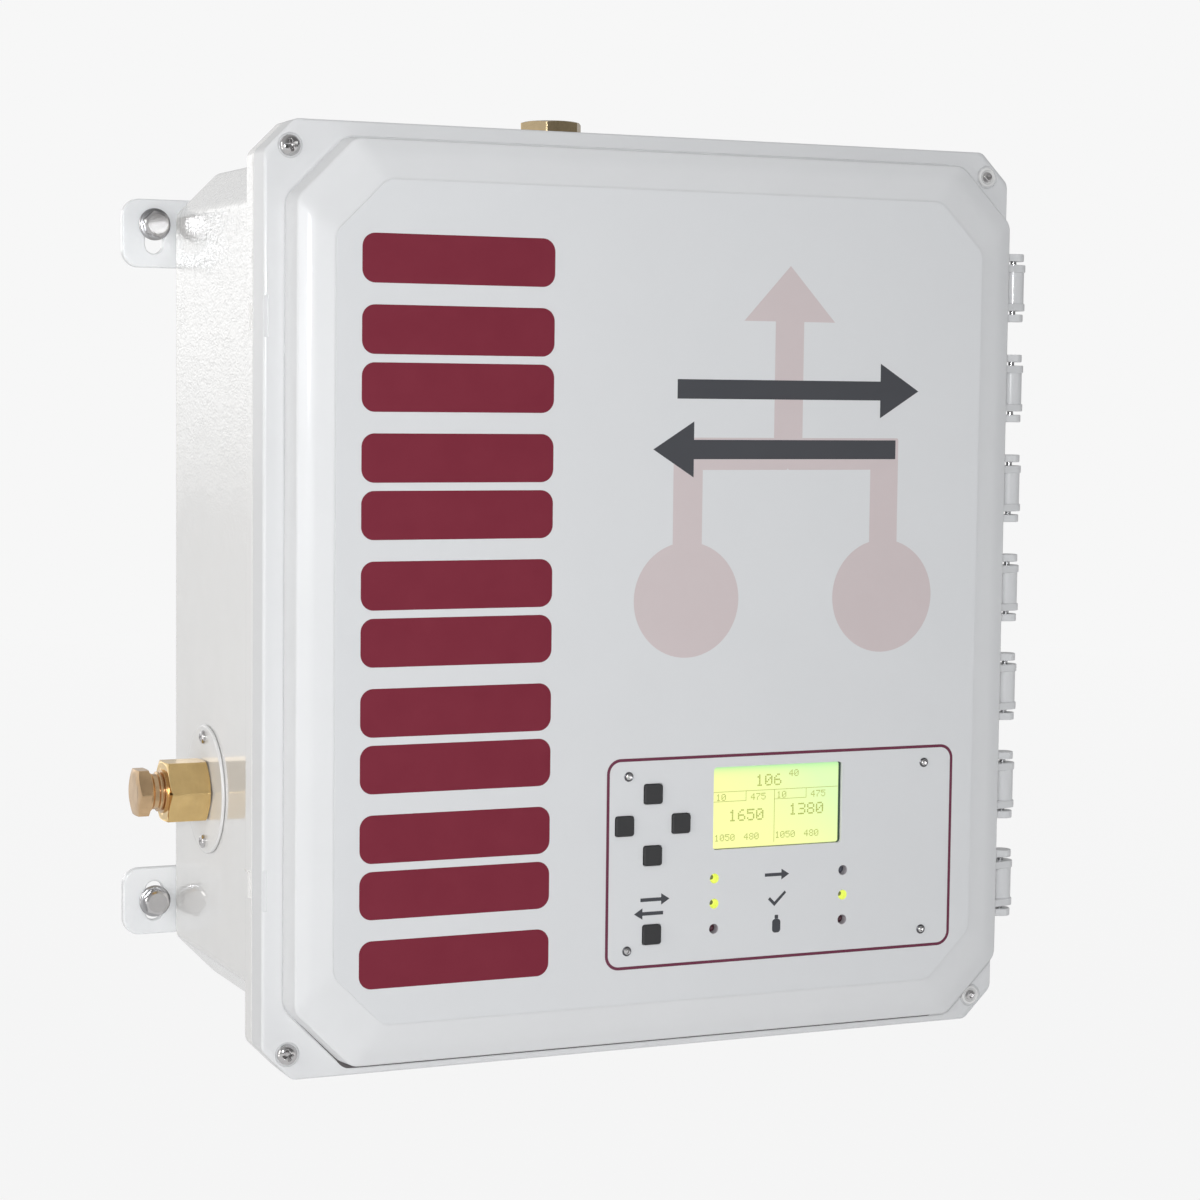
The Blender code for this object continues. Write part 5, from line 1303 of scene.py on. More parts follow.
def add_openings(bm: BMesh, front_y: float, back_y: float, shells: Shells) -> None:
    """The openings of the control panel, cut between two depths.

    Args:
        bm: The mesh to add the cutters to.
        front_y: Where the cutters start.
        back_y: Where they end.
        shells: The shells, for the sizes of the holes.
    """
    length = back_y - front_y
    low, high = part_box("display_glass")
    gap = shells.window_gap
    window = rounded_rectangle(high.x - low.x + 2 * gap, high.z - low.z + 2 * gap, shells.window_radius)
    add_prism(bm, window, ((low.x + high.x) / 2, back_y, (low.z + high.z) / 2), (0, -1, 0), length)
    hole = rounded_rectangle(shells.key_hole, shells.key_hole, shells.key_hole_radius)
    for node in shells.key_nodes:
        centre = box_centre(node)
        add_prism(bm, hole, (centre.x, back_y, centre.z), (0, -1, 0), length)
    for side in Side:
        x = box_centre("light_pipe_" + side.word).x
        for z in shells.lamp_levels:
            add_turned(bm, [(shells.lamp_hole, 0), (shells.lamp_hole, length)], (x, back_y, z), (0, -1, 0),
                       steps=32)


@dataclass
class FaceFilm:
    """The printed film on the flat face, and its printing."""

    sizes: CabinetSizes
    materials: dict[str, Material]
    shells: Shells
    margin: float = 0.8 * MM
    edge: float = 0.15 * MM
    cap_inset: float = 10.0 * MM
    corner_steps: int = 10
    ink: float = 0.03 * MM
    stripe_left: float = -151.0 * MM
    stripe_right: float = -59.0 * MM
    stripe_low: float = -172.0 * MM
    stripe_high: float = 165.0 * MM
    stripe_pairs: int = 6
    pair_gap: float = 3.6 * MM
    stripe_gap: float = 9.5 * MM
    stripe_radius: float = 6.0 * MM
    panel_left: float = -30.5 * MM
    panel_right: float = 154.2 * MM
    panel_low: float = -172.3 * MM
    panel_high: float = -73.2 * MM
    panel_line: float = 1.45 * MM
    panel_radius: float = 7.0 * MM
    flow_centre: Point2 = (61.0 * MM, 62.0 * MM)
    flow_bar: float = 15.0 * MM
    flow_reach: float = 52.0 * MM
    flow_drop: float = 62.0 * MM
    flow_rise: float = 70.0 * MM
    flow_disc: float = 27.0 * MM
    flow_tip: float = 24.0 * MM
    flow_corner: float = 1.0 * MM
    arrow_level: float = 84.0 * MM
    arrow_shift: Point2 = (6.0 * MM, 14.0 * MM)
    arrow_length: float = 128.0 * MM
    arrow_shaft: float = 9.0 * MM
    arrow_head: float = 26.0 * MM
    sign_arrow: Point3 = (13.0 * MM, 1.6 * MM, 5.2 * MM)
    tick: tuple[Point2, ...] = ((-4.6 * MM, 0.2 * MM), (-1.2 * MM, -3.2 * MM), (5.0 * MM, 3.0 * MM),
                                (4.25 * MM, 4.0 * MM), (-1.2 * MM, -1.1 * MM), (-3.6 * MM, 1.3 * MM))
    bottle: Point3 = (4.4 * MM, 6.6 * MM, 1.6 * MM)
    bottle_level: float = -0.7 * MM
    bottle_cap: Point3 = (1.9 * MM, 1.9 * MM, 0.3 * MM)
    bottle_cap_level: float = 3.6 * MM
    bank_arrow: Point3 = (15.0 * MM, 1.7 * MM, 5.4 * MM)
    bank_arrow_shift: float = 1.6 * MM
    bank_arrow_levels: Point2 = (16.5 * MM, 10.0 * MM)
    front_y: float = field(init=False)

    def build(self) -> None:
        """Build the film and every print on it."""
        low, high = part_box("front_overlay")
        self.front_y = low.y
        sheet = self.sizes.face.grown(-self.margin)
        cap = sheet.grown(-self.cap_inset)
        stations = [Station(cap, low.y), Station(sheet, low.y, self.edge), Station(sheet, high.y),
                    Station(cap, high.y)]
        bm = bmesh.new()
        add_loft(bm, soften(stations, segments=2))
        film = make_piece("face_film", bm, self.materials["film"])
        bm = bmesh.new()
        add_openings(bm, low.y - CUT_MARGIN, high.y + CUT_MARGIN, self.shells)
        combine(film, bm)
        finish_edges(film)
        dress(film, "lid", ["front_overlay"])
        self._stripes()
        self._panel_line()
        self._flow_picture()
        self._changeover_arrows()
        self._lamp_signs()

    def _print(self, name: str, shapes: list[list[Point2]], finish: str, proud: float = 0.0) -> None:
        """Print flat outlines on the film.

        Args:
            name: The piece's name.
            shapes: Outlines in the XZ plane.
            finish: The ink.
            proud: How far it lies in front of the other prints.
        """
        bm = bmesh.new()
        for outline in shapes:
            add_loft(bm, self._ink_rings(outline, proud))
        piece = make_piece(name, bm, self.materials[finish])
        dress(piece, "lid")

    def _ink_rings(self, outline: list[Point2], proud: float = 0.0) -> list[list[Vector]]:
        """The front and the back ring of a print."""
        middle = self.front_y - proud
        return [[Vector((x, y, z)) for x, z in outline] for y in (middle - self.ink, middle + self.ink)]

    def _stripes(self) -> None:
        """The maroon bars down the left of the face, in pairs."""
        width = self.stripe_right - self.stripe_left
        pair = (self.stripe_high - self.stripe_low - (self.stripe_pairs - 1) * self.pair_gap) / self.stripe_pairs
        bar = (pair - self.stripe_gap) / 2
        middle = (self.stripe_left + self.stripe_right) / 2
        shapes = []
        for index in range(self.stripe_pairs):
            low = self.stripe_low + index * (pair + self.pair_gap)
            for level in (low + bar / 2, low + pair - bar / 2):
                outline = rounded_rectangle(width, bar, self.stripe_radius, self.corner_steps)
                shapes.append(shifted(outline, middle, level))
        self._print("maroon_stripes", shapes, "maroon")

    def _panel_line(self) -> None:
        """The thin line round the control panel."""
        width = self.panel_right - self.panel_left
        height = self.panel_high - self.panel_low
        centre = ((self.panel_left + self.panel_right) / 2, (self.panel_low + self.panel_high) / 2)
        outer, inner = (shifted(rounded_rectangle(width - 2 * line, height - 2 * line, self.panel_radius - line,
                                                  self.corner_steps), *centre)
                        for line in (0.0, self.panel_line))
        bm = bmesh.new()
        add_loft(bm, self._ink_rings(outer) + self._ink_rings(inner)[::-1], closed=True)
        piece = make_piece("panel_outline", bm, self.materials["line"])
        dress(piece, "lid")

    def _flow_picture(self) -> None:
        """A pale picture of the job: two banks below, one line up."""
        x, z = self.flow_centre
        bar, reach, drop, rise = self.flow_bar, self.flow_reach, self.flow_drop, self.flow_rise
        disc, corner = self.flow_disc, self.flow_corner
        shapes = []
        for side in Side:
            centre = x + side.value * reach
            shapes.append(shifted(circle(disc, steps=64), centre, z - drop))
            shapes.append(shifted(rounded_rectangle(bar, drop, corner), centre, z + (disc - drop) / 2))
            shapes.append(shifted(rounded_rectangle(reach, bar, corner), x + side.value * reach / 2,
                                  z + (disc - bar) / 2))
        shapes.append(shifted(rounded_rectangle(bar, rise, corner), x, z + rise / 2))
        foot = z + rise - 2 * corner
        shapes.append([(x - self.flow_tip, foot), (x + self.flow_tip, foot), (x, z + rise + self.flow_tip)])
        self._print_joined("flow_picture", shapes, "pale_ink")

    def _print_joined(self, name: str, shapes: list[list[Point2]], finish: str) -> None:
        """Print overlapping outlines as one patch of ink."""
        piece: Object | None = None
        for outline in shapes:
            bm = bmesh.new()
            add_loft(bm, self._ink_rings(outline))
            if piece is None:
                piece = make_piece(name, bm, self.materials[finish])
            else:
                combine(piece, bm, "UNION")
        dress(piece, "lid")

    def _changeover_arrows(self) -> None:
        """Two dark arrows, one each way, across the picture."""
        x, z = self.flow_centre[0], self.arrow_level
        shapes = [arrow(x + way * self.arrow_shift[0], z + way * self.arrow_shift[1], self.arrow_length,
                        self.arrow_shaft, self.arrow_head, way) for way in (1, -1)]
        self._print("changeover_arrows", shapes, "dark_ink", self.ink / 2)

    def _lamp_signs(self) -> None:
        """Small dark signs beside the lamps and the lower key."""
        centre = box_centre("display_glass").x
        levels = self.shells.lamp_levels
        shapes = [arrow(centre, levels[0], *self.sign_arrow, 1), shifted(self.tick, centre, levels[1])]
        for part, level in ((self.bottle, self.bottle_level), (self.bottle_cap, self.bottle_cap_level)):
            shapes.append(shifted(rounded_rectangle(*part), centre, levels[2] + level))
        bank = box_centre("key_bank")
        for way, level in zip((1, -1), self.bank_arrow_levels):
            shapes.append(arrow(bank.x + way * self.bank_arrow_shift, bank.z + level, *self.bank_arrow, way))
        self._print("panel_signs", shapes, "dark_ink")


def shifted(outline: Sequence[Point2], x: float, z: float) -> list[Point2]:
    """An outline moved to a place."""
    return [(u + x, v + z) for u, v in outline]


def arrow(x: float, z: float, length: float, shaft: float, head: float, way: int) -> list[Point2]:
    """An arrow along X.

    Args:
        x: Its middle across.
        z: Its level.
        length: From tail to tip.
        shaft: The height of its shaft.
        head: The height of its head.
        way: 1 to point right, -1 to point left.

    Returns:
        The outline.
    """
    neck = length / 2 - head * ARROW_TAPER
    points = [(-length / 2, -shaft / 2), (neck, -shaft / 2), (neck, -head / 2), (length / 2, 0),
              (neck, head / 2), (neck, shaft / 2), (-length / 2, shaft / 2)]
    return [(x + way * u, z + v) for u, v in points]


@dataclass
class ControlPanel:
    """The keys, lamps, display and screws on the lid."""

    sizes: CabinetSizes
    materials: dict[str, Material]
    shells: Shells
    key_size: float = 9.2 * MM
    key_radius: float = 1.35 * MM
    least_radius: float = 0.3 * MM
    key_depth: float = 4.2 * MM
    key_profile: tuple[Point2, ...] = ((0.0, 0.55 * MM), (-0.08 * MM, 0.25 * MM), (-0.3 * MM, 0.06 * MM),
                                       (-0.6 * MM, 0.0), (-2.4 * MM, 0.12 * MM))
    key_flange: Point2 = (6.2 * MM, 1.0 * MM)
    key_stem: Point2 = (2.0 * MM, 0.2 * MM)
    screw_radius: float = 1.6 * MM
    screw_height: float = 1.2 * MM
    ring_hole: float = 1.5 * MM
    ring_radius: float = 2.3 * MM
    ring_profile: tuple[Point2, ...] = ((-0.1 * MM, 0.35 * MM), (-0.35 * MM, 0.5 * MM))
    ring_inner_height: float = 0.3 * MM
    liner: float = 0.35 * MM
    liner_depth: float = 0.75 * MM
    liner_gap: float = 0.25 * MM
    liner_clearance: float = 0.05 * MM
    liner_radii: Point2 = (1.5 * MM, 1.2 * MM)
    liner_sides: float = 2.6
    pixel_lift: float = 0.06 * MM
    dot: float = 0.80 * MM
    small_dot: float = 0.46 * MM
    rule_width: float = 0.24 * MM
    rule_share: float = 0.31
    rule_inset: float = 0.8 * MM
    middle_share: float = 0.485
    middle_foot: float = 1.6 * MM
    box_share: float = 0.25
    box_height: float = 4.6 * MM
    top_figures: tuple[tuple[str, float, float], ...] = (("106", 0.34, 0.11), ("40", 0.60, 0.07))
    bank_figures: tuple[tuple[str, float], ...] = (("1650", 0.53), ("1380", 0.49))
    bank_shares: tuple[float, ...] = (0.29, 0.12, 0.24)
    bank_insets: tuple[Point2, ...] = ((1.4 * MM, 0.8 * MM), (0.8 * MM, 1.2 * MM))
    foot_share: float = 0.17
    board_parts: tuple[tuple[float, ...], ...] = (
        (0.22, 0.60, 14, 14, 1.6), (0.42, 0.45, 22, 12, 2.2), (0.66, 0.62, 10, 8, 1.4),
        (0.80, 0.30, 26, 10, 6.5), (0.16, 0.22, 18, 9, 6.5), (0.58, 0.20, 6, 6, 1.0),
        (0.50, 0.75, 5, 4, 1.0), (0.33, 0.80, 5, 3, 1.0), (0.75, 0.78, 5, 3, 1.0))
    board_sunk: float = 0.1 * MM
    board_bevel: float = 0.25 * MM
    lamp_bar: float = 2.5 * MM
    lamp_recess: float = 2.3 * MM
    lens_radius: float = 2.05 * MM
    lens_dome: float = 1.3 * MM
    cup_gap: float = 0.02 * MM
    cup_wall: float = 0.3 * MM
    cup_draft: float = 0.05 * MM
    cup_sunk: float = 0.1 * MM
    cup_overlap: float = 0.15 * MM
    # Size, place and shape of the painted shade dome on a lit lens.
    shade_patch_radius: float = 1.25 * MM
    shade_patch_offset: Point3 = (-0.65 * MM, -0.45 * MM, 0.30 * MM)
    shade_patch_profile: tuple[Point2, ...] = ((1.0, 1.3 * MM), (0.95, 0.45 * MM), (0.65, 0.12 * MM), (0.2, 0.0))
    front_y: float = field(init=False)

    def build(self) -> None:
        """Build everything on the control panel."""
        self.front_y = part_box("front_overlay")[0].y
        self._keys()
        self._lamps()
        self._display()
        self._screws()
        self._board()

    def _keys(self) -> None:
        """The five keys, with soft edges and slightly dished caps."""
        for node in self.shells.key_nodes:
            low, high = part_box(node)
            centre = (low + high) / 2
            cap_back = self.front_y + self.key_depth
            rings = []
            for offset, y in [(0.0, cap_back)] + [(out, low.y + depth) for out, depth in self.key_profile]:
                size = self.key_size + 2 * offset
                outline = rounded_rectangle(size, size, max(self.key_radius + offset, self.least_radius))
                rings.append([Vector((centre.x + u, y, centre.z + v)) for u, v in outline])
            bm = bmesh.new()
            add_loft(bm, rings)
            for (reach, ahead), back in ((self.key_flange, cap_back), (self.key_stem, high.y)):
                add_box(bm, (centre.x - reach, cap_back - ahead, centre.z - reach),
                        (centre.x + reach, back, centre.z + reach))
            piece = make_piece(node + "_cap", bm, self.materials["key"])
            finish_edges(piece)
            dress(piece, node.replace("key_", "") + "_key", [node])

    def _lamps(self) -> None:
        """Six lamps set into their holes, on the bar that carries each column."""
        lit = {Side.LEFT: ("lamp_green", "lamp_green", "lamp_red"),
               Side.RIGHT: ("lamp_off", "lamp_green", "lamp_red")}
        for side in Side:
            node = "light_pipe_" + side.word
            low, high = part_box(node)
            x = (low.x + high.x) / 2
            bm = bmesh.new()
            add_box(bm, (low.x, high.y - self.lamp_bar, low.z), high)
            bar = make_piece(node + "_bar", bm, self.materials["pipe"])
            for index, z in enumerate(self.shells.lamp_levels):
                tip = self.front_y + self.lamp_recess
                reach = high.y - self.lamp_bar / 2 - tip
                combine_turned(bar, "UNION", [(self.lens_radius, self.lens_dome), (self.lens_radius, reach)],
                               (x, tip, z), (0, 1, 0), steps=32)
                self._lens(f"lamp_{side.word}_{index + 1}", Vector((x, tip, z)), lit[side][index])
            finish_edges(bar)
            dress(bar, "lid", [node])

    def _lens(self, name: str, tip: Vector, finish: str) -> None:
        """One lamp: a domed lens in a short cup; a lit one also gets a small dark dome over the upper left of its
        lens, painted shade.

        Args:
            name: The lens's name.
            tip: The front of its dome.
            finish: The lens's finish.
        """
        arcs = 7
        angles = [math.pi / 2 * step / arcs for step in range(arcs)]
        dome = [(self.lens_radius * math.cos(angle), self.lens_dome * (1 - math.sin(angle))) for angle in angles]
        lens = turned_piece(name, dome, tip, (0, 1, 0), self.materials[finish])
        finish_edges(lens)
        dress(lens, "lid")
        lit = finish == "lamp_green"
        outer = self.shells.lamp_hole - self.cup_gap
        inner = outer - self.cup_wall
        depth = self.lamp_recess + self.lens_dome - self.cup_overlap
        profile = [(outer, 0), (outer, depth), (inner, depth), (outer - self.cup_draft, 0)]
        # A lit lamp's cup takes the glowing lamp material: painted light of the lamp on the wall of its hole.
        cup = turned_piece(name + "_cup", profile, (tip.x, self.front_y + self.cup_sunk, tip.z), (0, 1, 0),
                           self.materials[finish if lit else "lamp_cup"], closed=True)
        finish_edges(cup)
        dress(cup, "lid")
        # Painted shade: a dark dome over the upper left of a lit lens.
        if lit:
            profile = [(share * self.shade_patch_radius, depth) for share, depth in self.shade_patch_profile]
            shade_patch = turned_piece(name + "_core", profile, tip + Vector(self.shade_patch_offset), (0, 1, 0),
                                self.materials["lamp_core"], steps=24)
            finish_edges(shade_patch, sharp=60)
            dress(shade_patch, "lid")

    def _display(self) -> None:
        """The lit cell, its dark liner and the figures on it."""
        low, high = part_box("display_glass")
        cell = bpy.data.objects["display_glass"].data
        cell.materials.clear()
        cell.materials.append(DisplayGlow().build(low, high))
        gap = self.liner_gap
        width, height = high.x - low.x, high.z - low.z
        outer = rounded_rectangle(width + 2 * gap, height + 2 * gap, self.liner_radii[0])
        inner = shifted(rounded_rectangle(width + 2 * gap - self.liner_sides * self.liner, height + gap,
                                          self.liner_radii[1]), -self.liner, 0.0)
        centre = (low + high) / 2
        front, back = low.y - self.liner_depth, low.y - self.liner_clearance
        rings = [[Vector((centre.x + u, y, centre.z + v)) for u, v in outline]
                 for outline, y in ((outer, front), (outer, back), (inner, back), (inner, front))]
        bm = bmesh.new()
        add_loft(bm, rings, closed=True)
        liner = make_piece("display_liner", bm, self.materials["liner"])
        finish_edges(liner)
        dress(liner, "lid")
        self._figures(low, high)

    def _figures(self, low: Vector, high: Vector) -> None:
        """Numbers and ruled lines in small square dots.

        Args:
            low: The cell's lowest corner.
            high: The cell's highest corner.
        """
        width, height = high.x - low.x, high.z - low.z
        bm = bmesh.new()
        figures = DotFigures(bm, low.y - self.pixel_lift)
        for (value, across, down), dot in zip(self.top_figures, (self.dot, self.small_dot)):
            figures.number(value, low.x + across * width, high.z - down * height, dot)
        edge, line, small = self.rule_inset, self.rule_width, self.small_dot
        middle, rule = low.x + self.middle_share * width, high.z - self.rule_share * height
        box_foot, foot = rule - self.box_height, low.z + self.foot_share * height
        (box_left, box_top), (foot_left, flow_top) = self.bank_insets
        flow_share, value_share, unit_share = self.bank_shares
        figures.bar(low.x + edge, high.x - edge, rule, rule + line)
        figures.bar(middle, middle + line, low.z + self.middle_foot, rule)
        for left, (value, down) in zip((low.x + edge, middle), self.bank_figures):
            box = left + self.box_share * width
            figures.bar(left, box, box_foot, box_foot + line)
            figures.bar(box, box + line, box_foot, rule)
            figures.number("10", left + box_left, rule - box_top, small)
            figures.number("475", left + flow_share * width, rule - flow_top, small)
            figures.number(value, left + value_share * width, high.z - down * height, self.dot)
            figures.number("1050", left + foot_left, foot, small)
            figures.number("480", left + unit_share * width, foot, small)
        piece = make_piece("display_figures", bm, self.materials["pixel"])
        dress(piece, "lid")

    def _screws(self) -> None:
        """The four small screws of the panel, each in a dark steel ring that is painted shadow round the head."""
        # Each dark ring is painted shadow round its screw head.
        for index, (x, z) in enumerate(board_screw_places()):
            profile = [(self.ring_hole, 0), (self.ring_radius, 0)]
            profile += [(self.ring_radius + out, height) for out, height in self.ring_profile]
            profile.append((self.ring_hole, self.ring_inner_height))
            ring = turned_piece(f"panel_screw_ring_{index + 1}", profile, (x, self.front_y, z), (0, -1, 0),
                                self.materials["dark_steel"], closed=True)
            finish_edges(ring)
            dress(ring, "lid")
            screw = build_screw(f"panel_screw_{index + 1}", self.screw_radius, self.screw_height, Drive.SOCKET,
                                self.materials["stainless"])
            screw.matrix_world = Matrix.Translation((x, self.front_y, z)) @ FACING_FRONT
            dress(screw, "lid")

    def _board(self) -> None:
        """The parts on the back of the control board."""
        low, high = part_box("control_board")
        bm = bmesh.new()
        for across, up, width, height, depth in self.board_parts:
            x = low.x + across * (high.x - low.x)
            z = low.z + up * (high.z - low.z)
            add_box(bm, (x - width / 2 * MM, high.y - self.board_sunk, z - height / 2 * MM),
                    (x + width / 2 * MM, high.y + depth * MM, z + height / 2 * MM))
        piece = make_piece("board_parts", bm, self.materials["black"])
        finish_edges(piece, self.board_bevel, segments=2)
        dress(piece, "lid")


class DotFigures:
    """Figures made of square dots, five across and seven up."""

    FRONT = 0.02 * MM
    BACK = 0.04 * MM
    FILL = 0.86
    PITCH = 6
    ROWS = {
        "0": ("01110", "10001", "10011", "10101", "11001", "10001", "01110"),
        "1": ("00100", "01100", "00100", "00100", "00100", "00100", "01110"),
        "3": ("11110", "00001", "00001", "01110", "00001", "00001", "11110"),
        "4": ("00010", "00110", "01010", "10010", "11111", "00010", "00010"),
        "5": ("11111", "10000", "11110", "00001", "00001", "10001", "01110"),
        "6": ("00110", "01000", "10000", "11110", "10001", "10001", "01110"),
        "7": ("11111", "00001", "00010", "00100", "01000", "01000", "01000"),
        "8": ("01110", "10001", "10001", "01110", "10001", "10001", "01110"),
    }

    def __init__(self, bm: BMesh, y: float) -> None:
        """Draw into a mesh at one depth."""
        self.bm = bm
        self.y = y

    def bar(self, left: float, right: float, low: float, high: float) -> None:
        """Draw a filled rectangle."""
        add_box(self.bm, (left, self.y - self.FRONT, low), (right, self.y + self.BACK, high))

    def number(self, text: str, left: float, top: float, dot: float) -> None:
        """Draw figures.

        Args:
            text: The figures.
            left: Where they start.
            top: Their upper edge.
            dot: The pitch of the dots.
        """
        for place, figure in enumerate(text):
            for row, line in enumerate(self.ROWS[figure]):
                for column, mark in enumerate(line):
                    if mark == "1":
                        x = left + (place * self.PITCH + column) * dot
                        z = top - (row + 1) * dot
                        self.bar(x, x + dot * self.FILL, z, z + dot * self.FILL)


def build_screw(name: str, radius: float, height: float, drive: Drive,
                material: Material) -> Object:
    """A domed screw head that stands on Z = 0 and rises along +Z.

    Args:
        name: The piece's name.
        radius: The head's radius.
        height: The head's height.
        drive: The recess in it.
        material: Its finish.

    Returns:
        The piece.
    """
    rim, fullness, arcs = 0.25, 0.75, 8
    profile = [(radius, -HIDDEN_OVERLAP), (radius, height * rim)]
    for step in range(1, arcs):
        angle = math.pi / 2 * step / arcs
        profile.append((radius * math.cos(angle) ** fullness, height * (rim + (1 - rim) * math.sin(angle))))
    head = turned_piece(name, profile, (0, 0, 0), (0, 0, 1), material, steps=40)
    if drive is Drive.CROSS:
        arm, thick, depth, rest = radius * 0.58, radius * 0.17, height * 0.8, 0.3
        narrow, wide, above = 0.55, 1.1, 1.1
        for turn in (rest, rest + math.pi / 2):
            outline = [(-arm, -thick), (arm, -thick), (arm, thick), (-arm, thick)]
            turned = [(u * math.cos(turn) - v * math.sin(turn), u * math.sin(turn) + v * math.cos(turn))
                      for u, v in outline]
            bottom = [Vector((narrow * u, narrow * v, height - depth)) for u, v in turned]
            top = [Vector((wide * u, wide * v, height * above)) for u, v in turned]
            cutter = bmesh.new()
            add_loft(cutter, [bottom, top])
            combine(head, cutter)
    else:
        floor, turn = height * 0.35, 0.2
        bm = bmesh.new()
        add_prism(bm, hexagon(radius, turn), (0, 0, floor), (0, 0, 1), height)
        combine(head, bm)
    finish_edges(head, sharp=30)
    return head


@dataclass
class Fasteners:
    """The lid's corner screws, the wall bolts and the screws of the cover discs."""

    sizes: CabinetSizes
    materials: dict[str, Material]
    disc_screw_circle: float = 25.6 * MM
    disc_screw_radius: float = 3.3 * MM
    bolt_flats: float = 11.6 * MM
    bolt_turn: float = math.pi / 6 + 0.25
    bolt_shank: float = 4.0 * MM
    bolt_washer: tuple[Point2, ...] = ((7.7 * MM, 0.0), (8.0 * MM, 0.3 * MM), (8.0 * MM, 1.0 * MM),
                                       (7.5 * MM, 1.5 * MM), (6.4 * MM, 1.7 * MM), (4.0 * MM, 1.7 * MM))
    bolt_seat: float = 1.5 * MM
    bolt_crown: tuple[Point2, ...] = ((7.2 * MM, 0.0), (7.2 * MM, 0.74), (5.9 * MM, 0.92), (4.9 * MM, 1.0))
    bolt_overlap: float = 2.0 * MM
    disc_screw_height: float = 2.1 * MM
    lid_seat: float = 2.6 * MM
    lid_shank: tuple[float, ...] = (2.3 * MM, 1.9 * MM)
    shank_overlap: float = 0.2 * MM
    shank_taper: float = 0.8 * MM
    small_head: float = 2.6 * MM
    cup_hole: float = 2.2 * MM
    cup_rim: tuple[Point2, ...] = ((0.0, 0.9 * MM), (-0.5 * MM, 1.3 * MM), (-1.1 * MM, 1.3 * MM))
    cup_lip: Point2 = (2.9 * MM, 0.5 * MM)

    def build(self) -> None:
        """Build every fastener."""
        self._lid_screws()
        self._wall_bolts()
        self._disc_screws()

    def _lid_screws(self) -> None:
        """Domed cross-recess heads in the lid's corners, with their shanks."""
        for level in Level:
            for side in Side:
                node = f"lid_screw_{level.word}_{side.word}"
                low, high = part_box(node)
                radius = (high.x - low.x) / 2
                seat = low.y + self.lid_seat
                centre = (low + high) / 2
                drive = Drive.CROSS
                if side is Side.RIGHT:
                    self._cup_washer(node + "_washer", radius, Vector((centre.x, seat, centre.z)))
                    radius, drive = self.small_head, Drive.SOCKET
                head = build_screw(node + "_head", radius, seat - low.y, drive, self.materials["stainless"])
                shank, tip = self.lid_shank
                end = seat - high.y
                combine_turned(head, "UNION", [(shank, -self.shank_overlap), (shank, end + self.shank_taper),
                                               (tip, end)], steps=24)
                finish_edges(head, sharp=30)
                head.matrix_world = Matrix.Translation((centre.x, seat, centre.z)) @ FACING_FRONT
                dress(head, "lid", [node])

    def _cup_washer(self, name: str, radius: float, seat: Vector) -> None:
        """A pale cup washer under a small head.

        Args:
            name: The piece's name.
            radius: The washer's outer radius.
            seat: The middle of its underside.
        """
        profile = [(self.cup_hole, 0), (radius, 0)] + [(radius + out, height) for out, height in self.cup_rim]
        profile += [self.cup_lip, (self.cup_hole, self.cup_lip[1])]
        washer = turned_piece(name, profile, seat, (0, -1, 0), self.materials["cover"], steps=40, closed=True)
        finish_edges(washer)
        dress(washer, "lid")

    def _wall_bolts(self) -> None:
        """Hex bolts with chamfered heads, each on a dished washer."""
        for level in Level:
            for side in Side:
                node = f"wall_bolt_{level.word}_{side.word}"
                low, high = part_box(node)
                centre = (low + high) / 2 + Vector((0, 0, FOOT_LIFT))
                seat = self.sizes.rear_y
                reach = seat - low.y
                spot = (centre.x, seat, centre.z)
                washer = turned_piece(node + "_washer", [(self.bolt_shank, 0), *self.bolt_washer], spot,
                                      (0, -1, 0), self.materials["pin"], steps=64, closed=True)
                finish_edges(washer)
                dress(washer, "cabinet")
                bm = bmesh.new()
                add_prism(bm, hexagon(self.bolt_flats, self.bolt_turn),
                          (centre.x, seat - self.bolt_seat, centre.z), (0, -1, 0), reach - self.bolt_seat)
                bolt = make_piece(node + "_head", bm, self.materials["stainless"])
                crown = [(radius, reach * share) for radius, share in self.bolt_crown]
                combine_turned(bolt, "INTERSECT", crown, spot, (0, -1, 0), steps=48)
                combine_turned(bolt, "UNION", [(self.bolt_shank, high.y - seat),
                                               (self.bolt_shank, -self.bolt_overlap)], spot, (0, 1, 0), steps=32)
                finish_edges(bolt, sharp=28)
                dress(bolt, "cabinet", [node])

    def _disc_screws(self) -> None:
        """Two screws on each inlet's cover disc."""
        for side in Side:
            low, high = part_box("inlet_cover_" + side.word)
            centre = (low + high) / 2
            outer_x = low.x if side is Side.LEFT else high.x
            turn = Matrix.Rotation(side.value * math.pi / 2, 4, "Y")
            for level in Level:
                screw = build_screw(f"cover_screw_{level.word}_{side.word}", self.disc_screw_radius,
                                    self.disc_screw_height, Drive.CROSS, self.materials["stainless"])
                spot = Vector((outer_x, centre.y, centre.z + level.value * self.disc_screw_circle))
                screw.matrix_world = Matrix.Translation(spot) @ turn
                dress(screw, "cabinet")


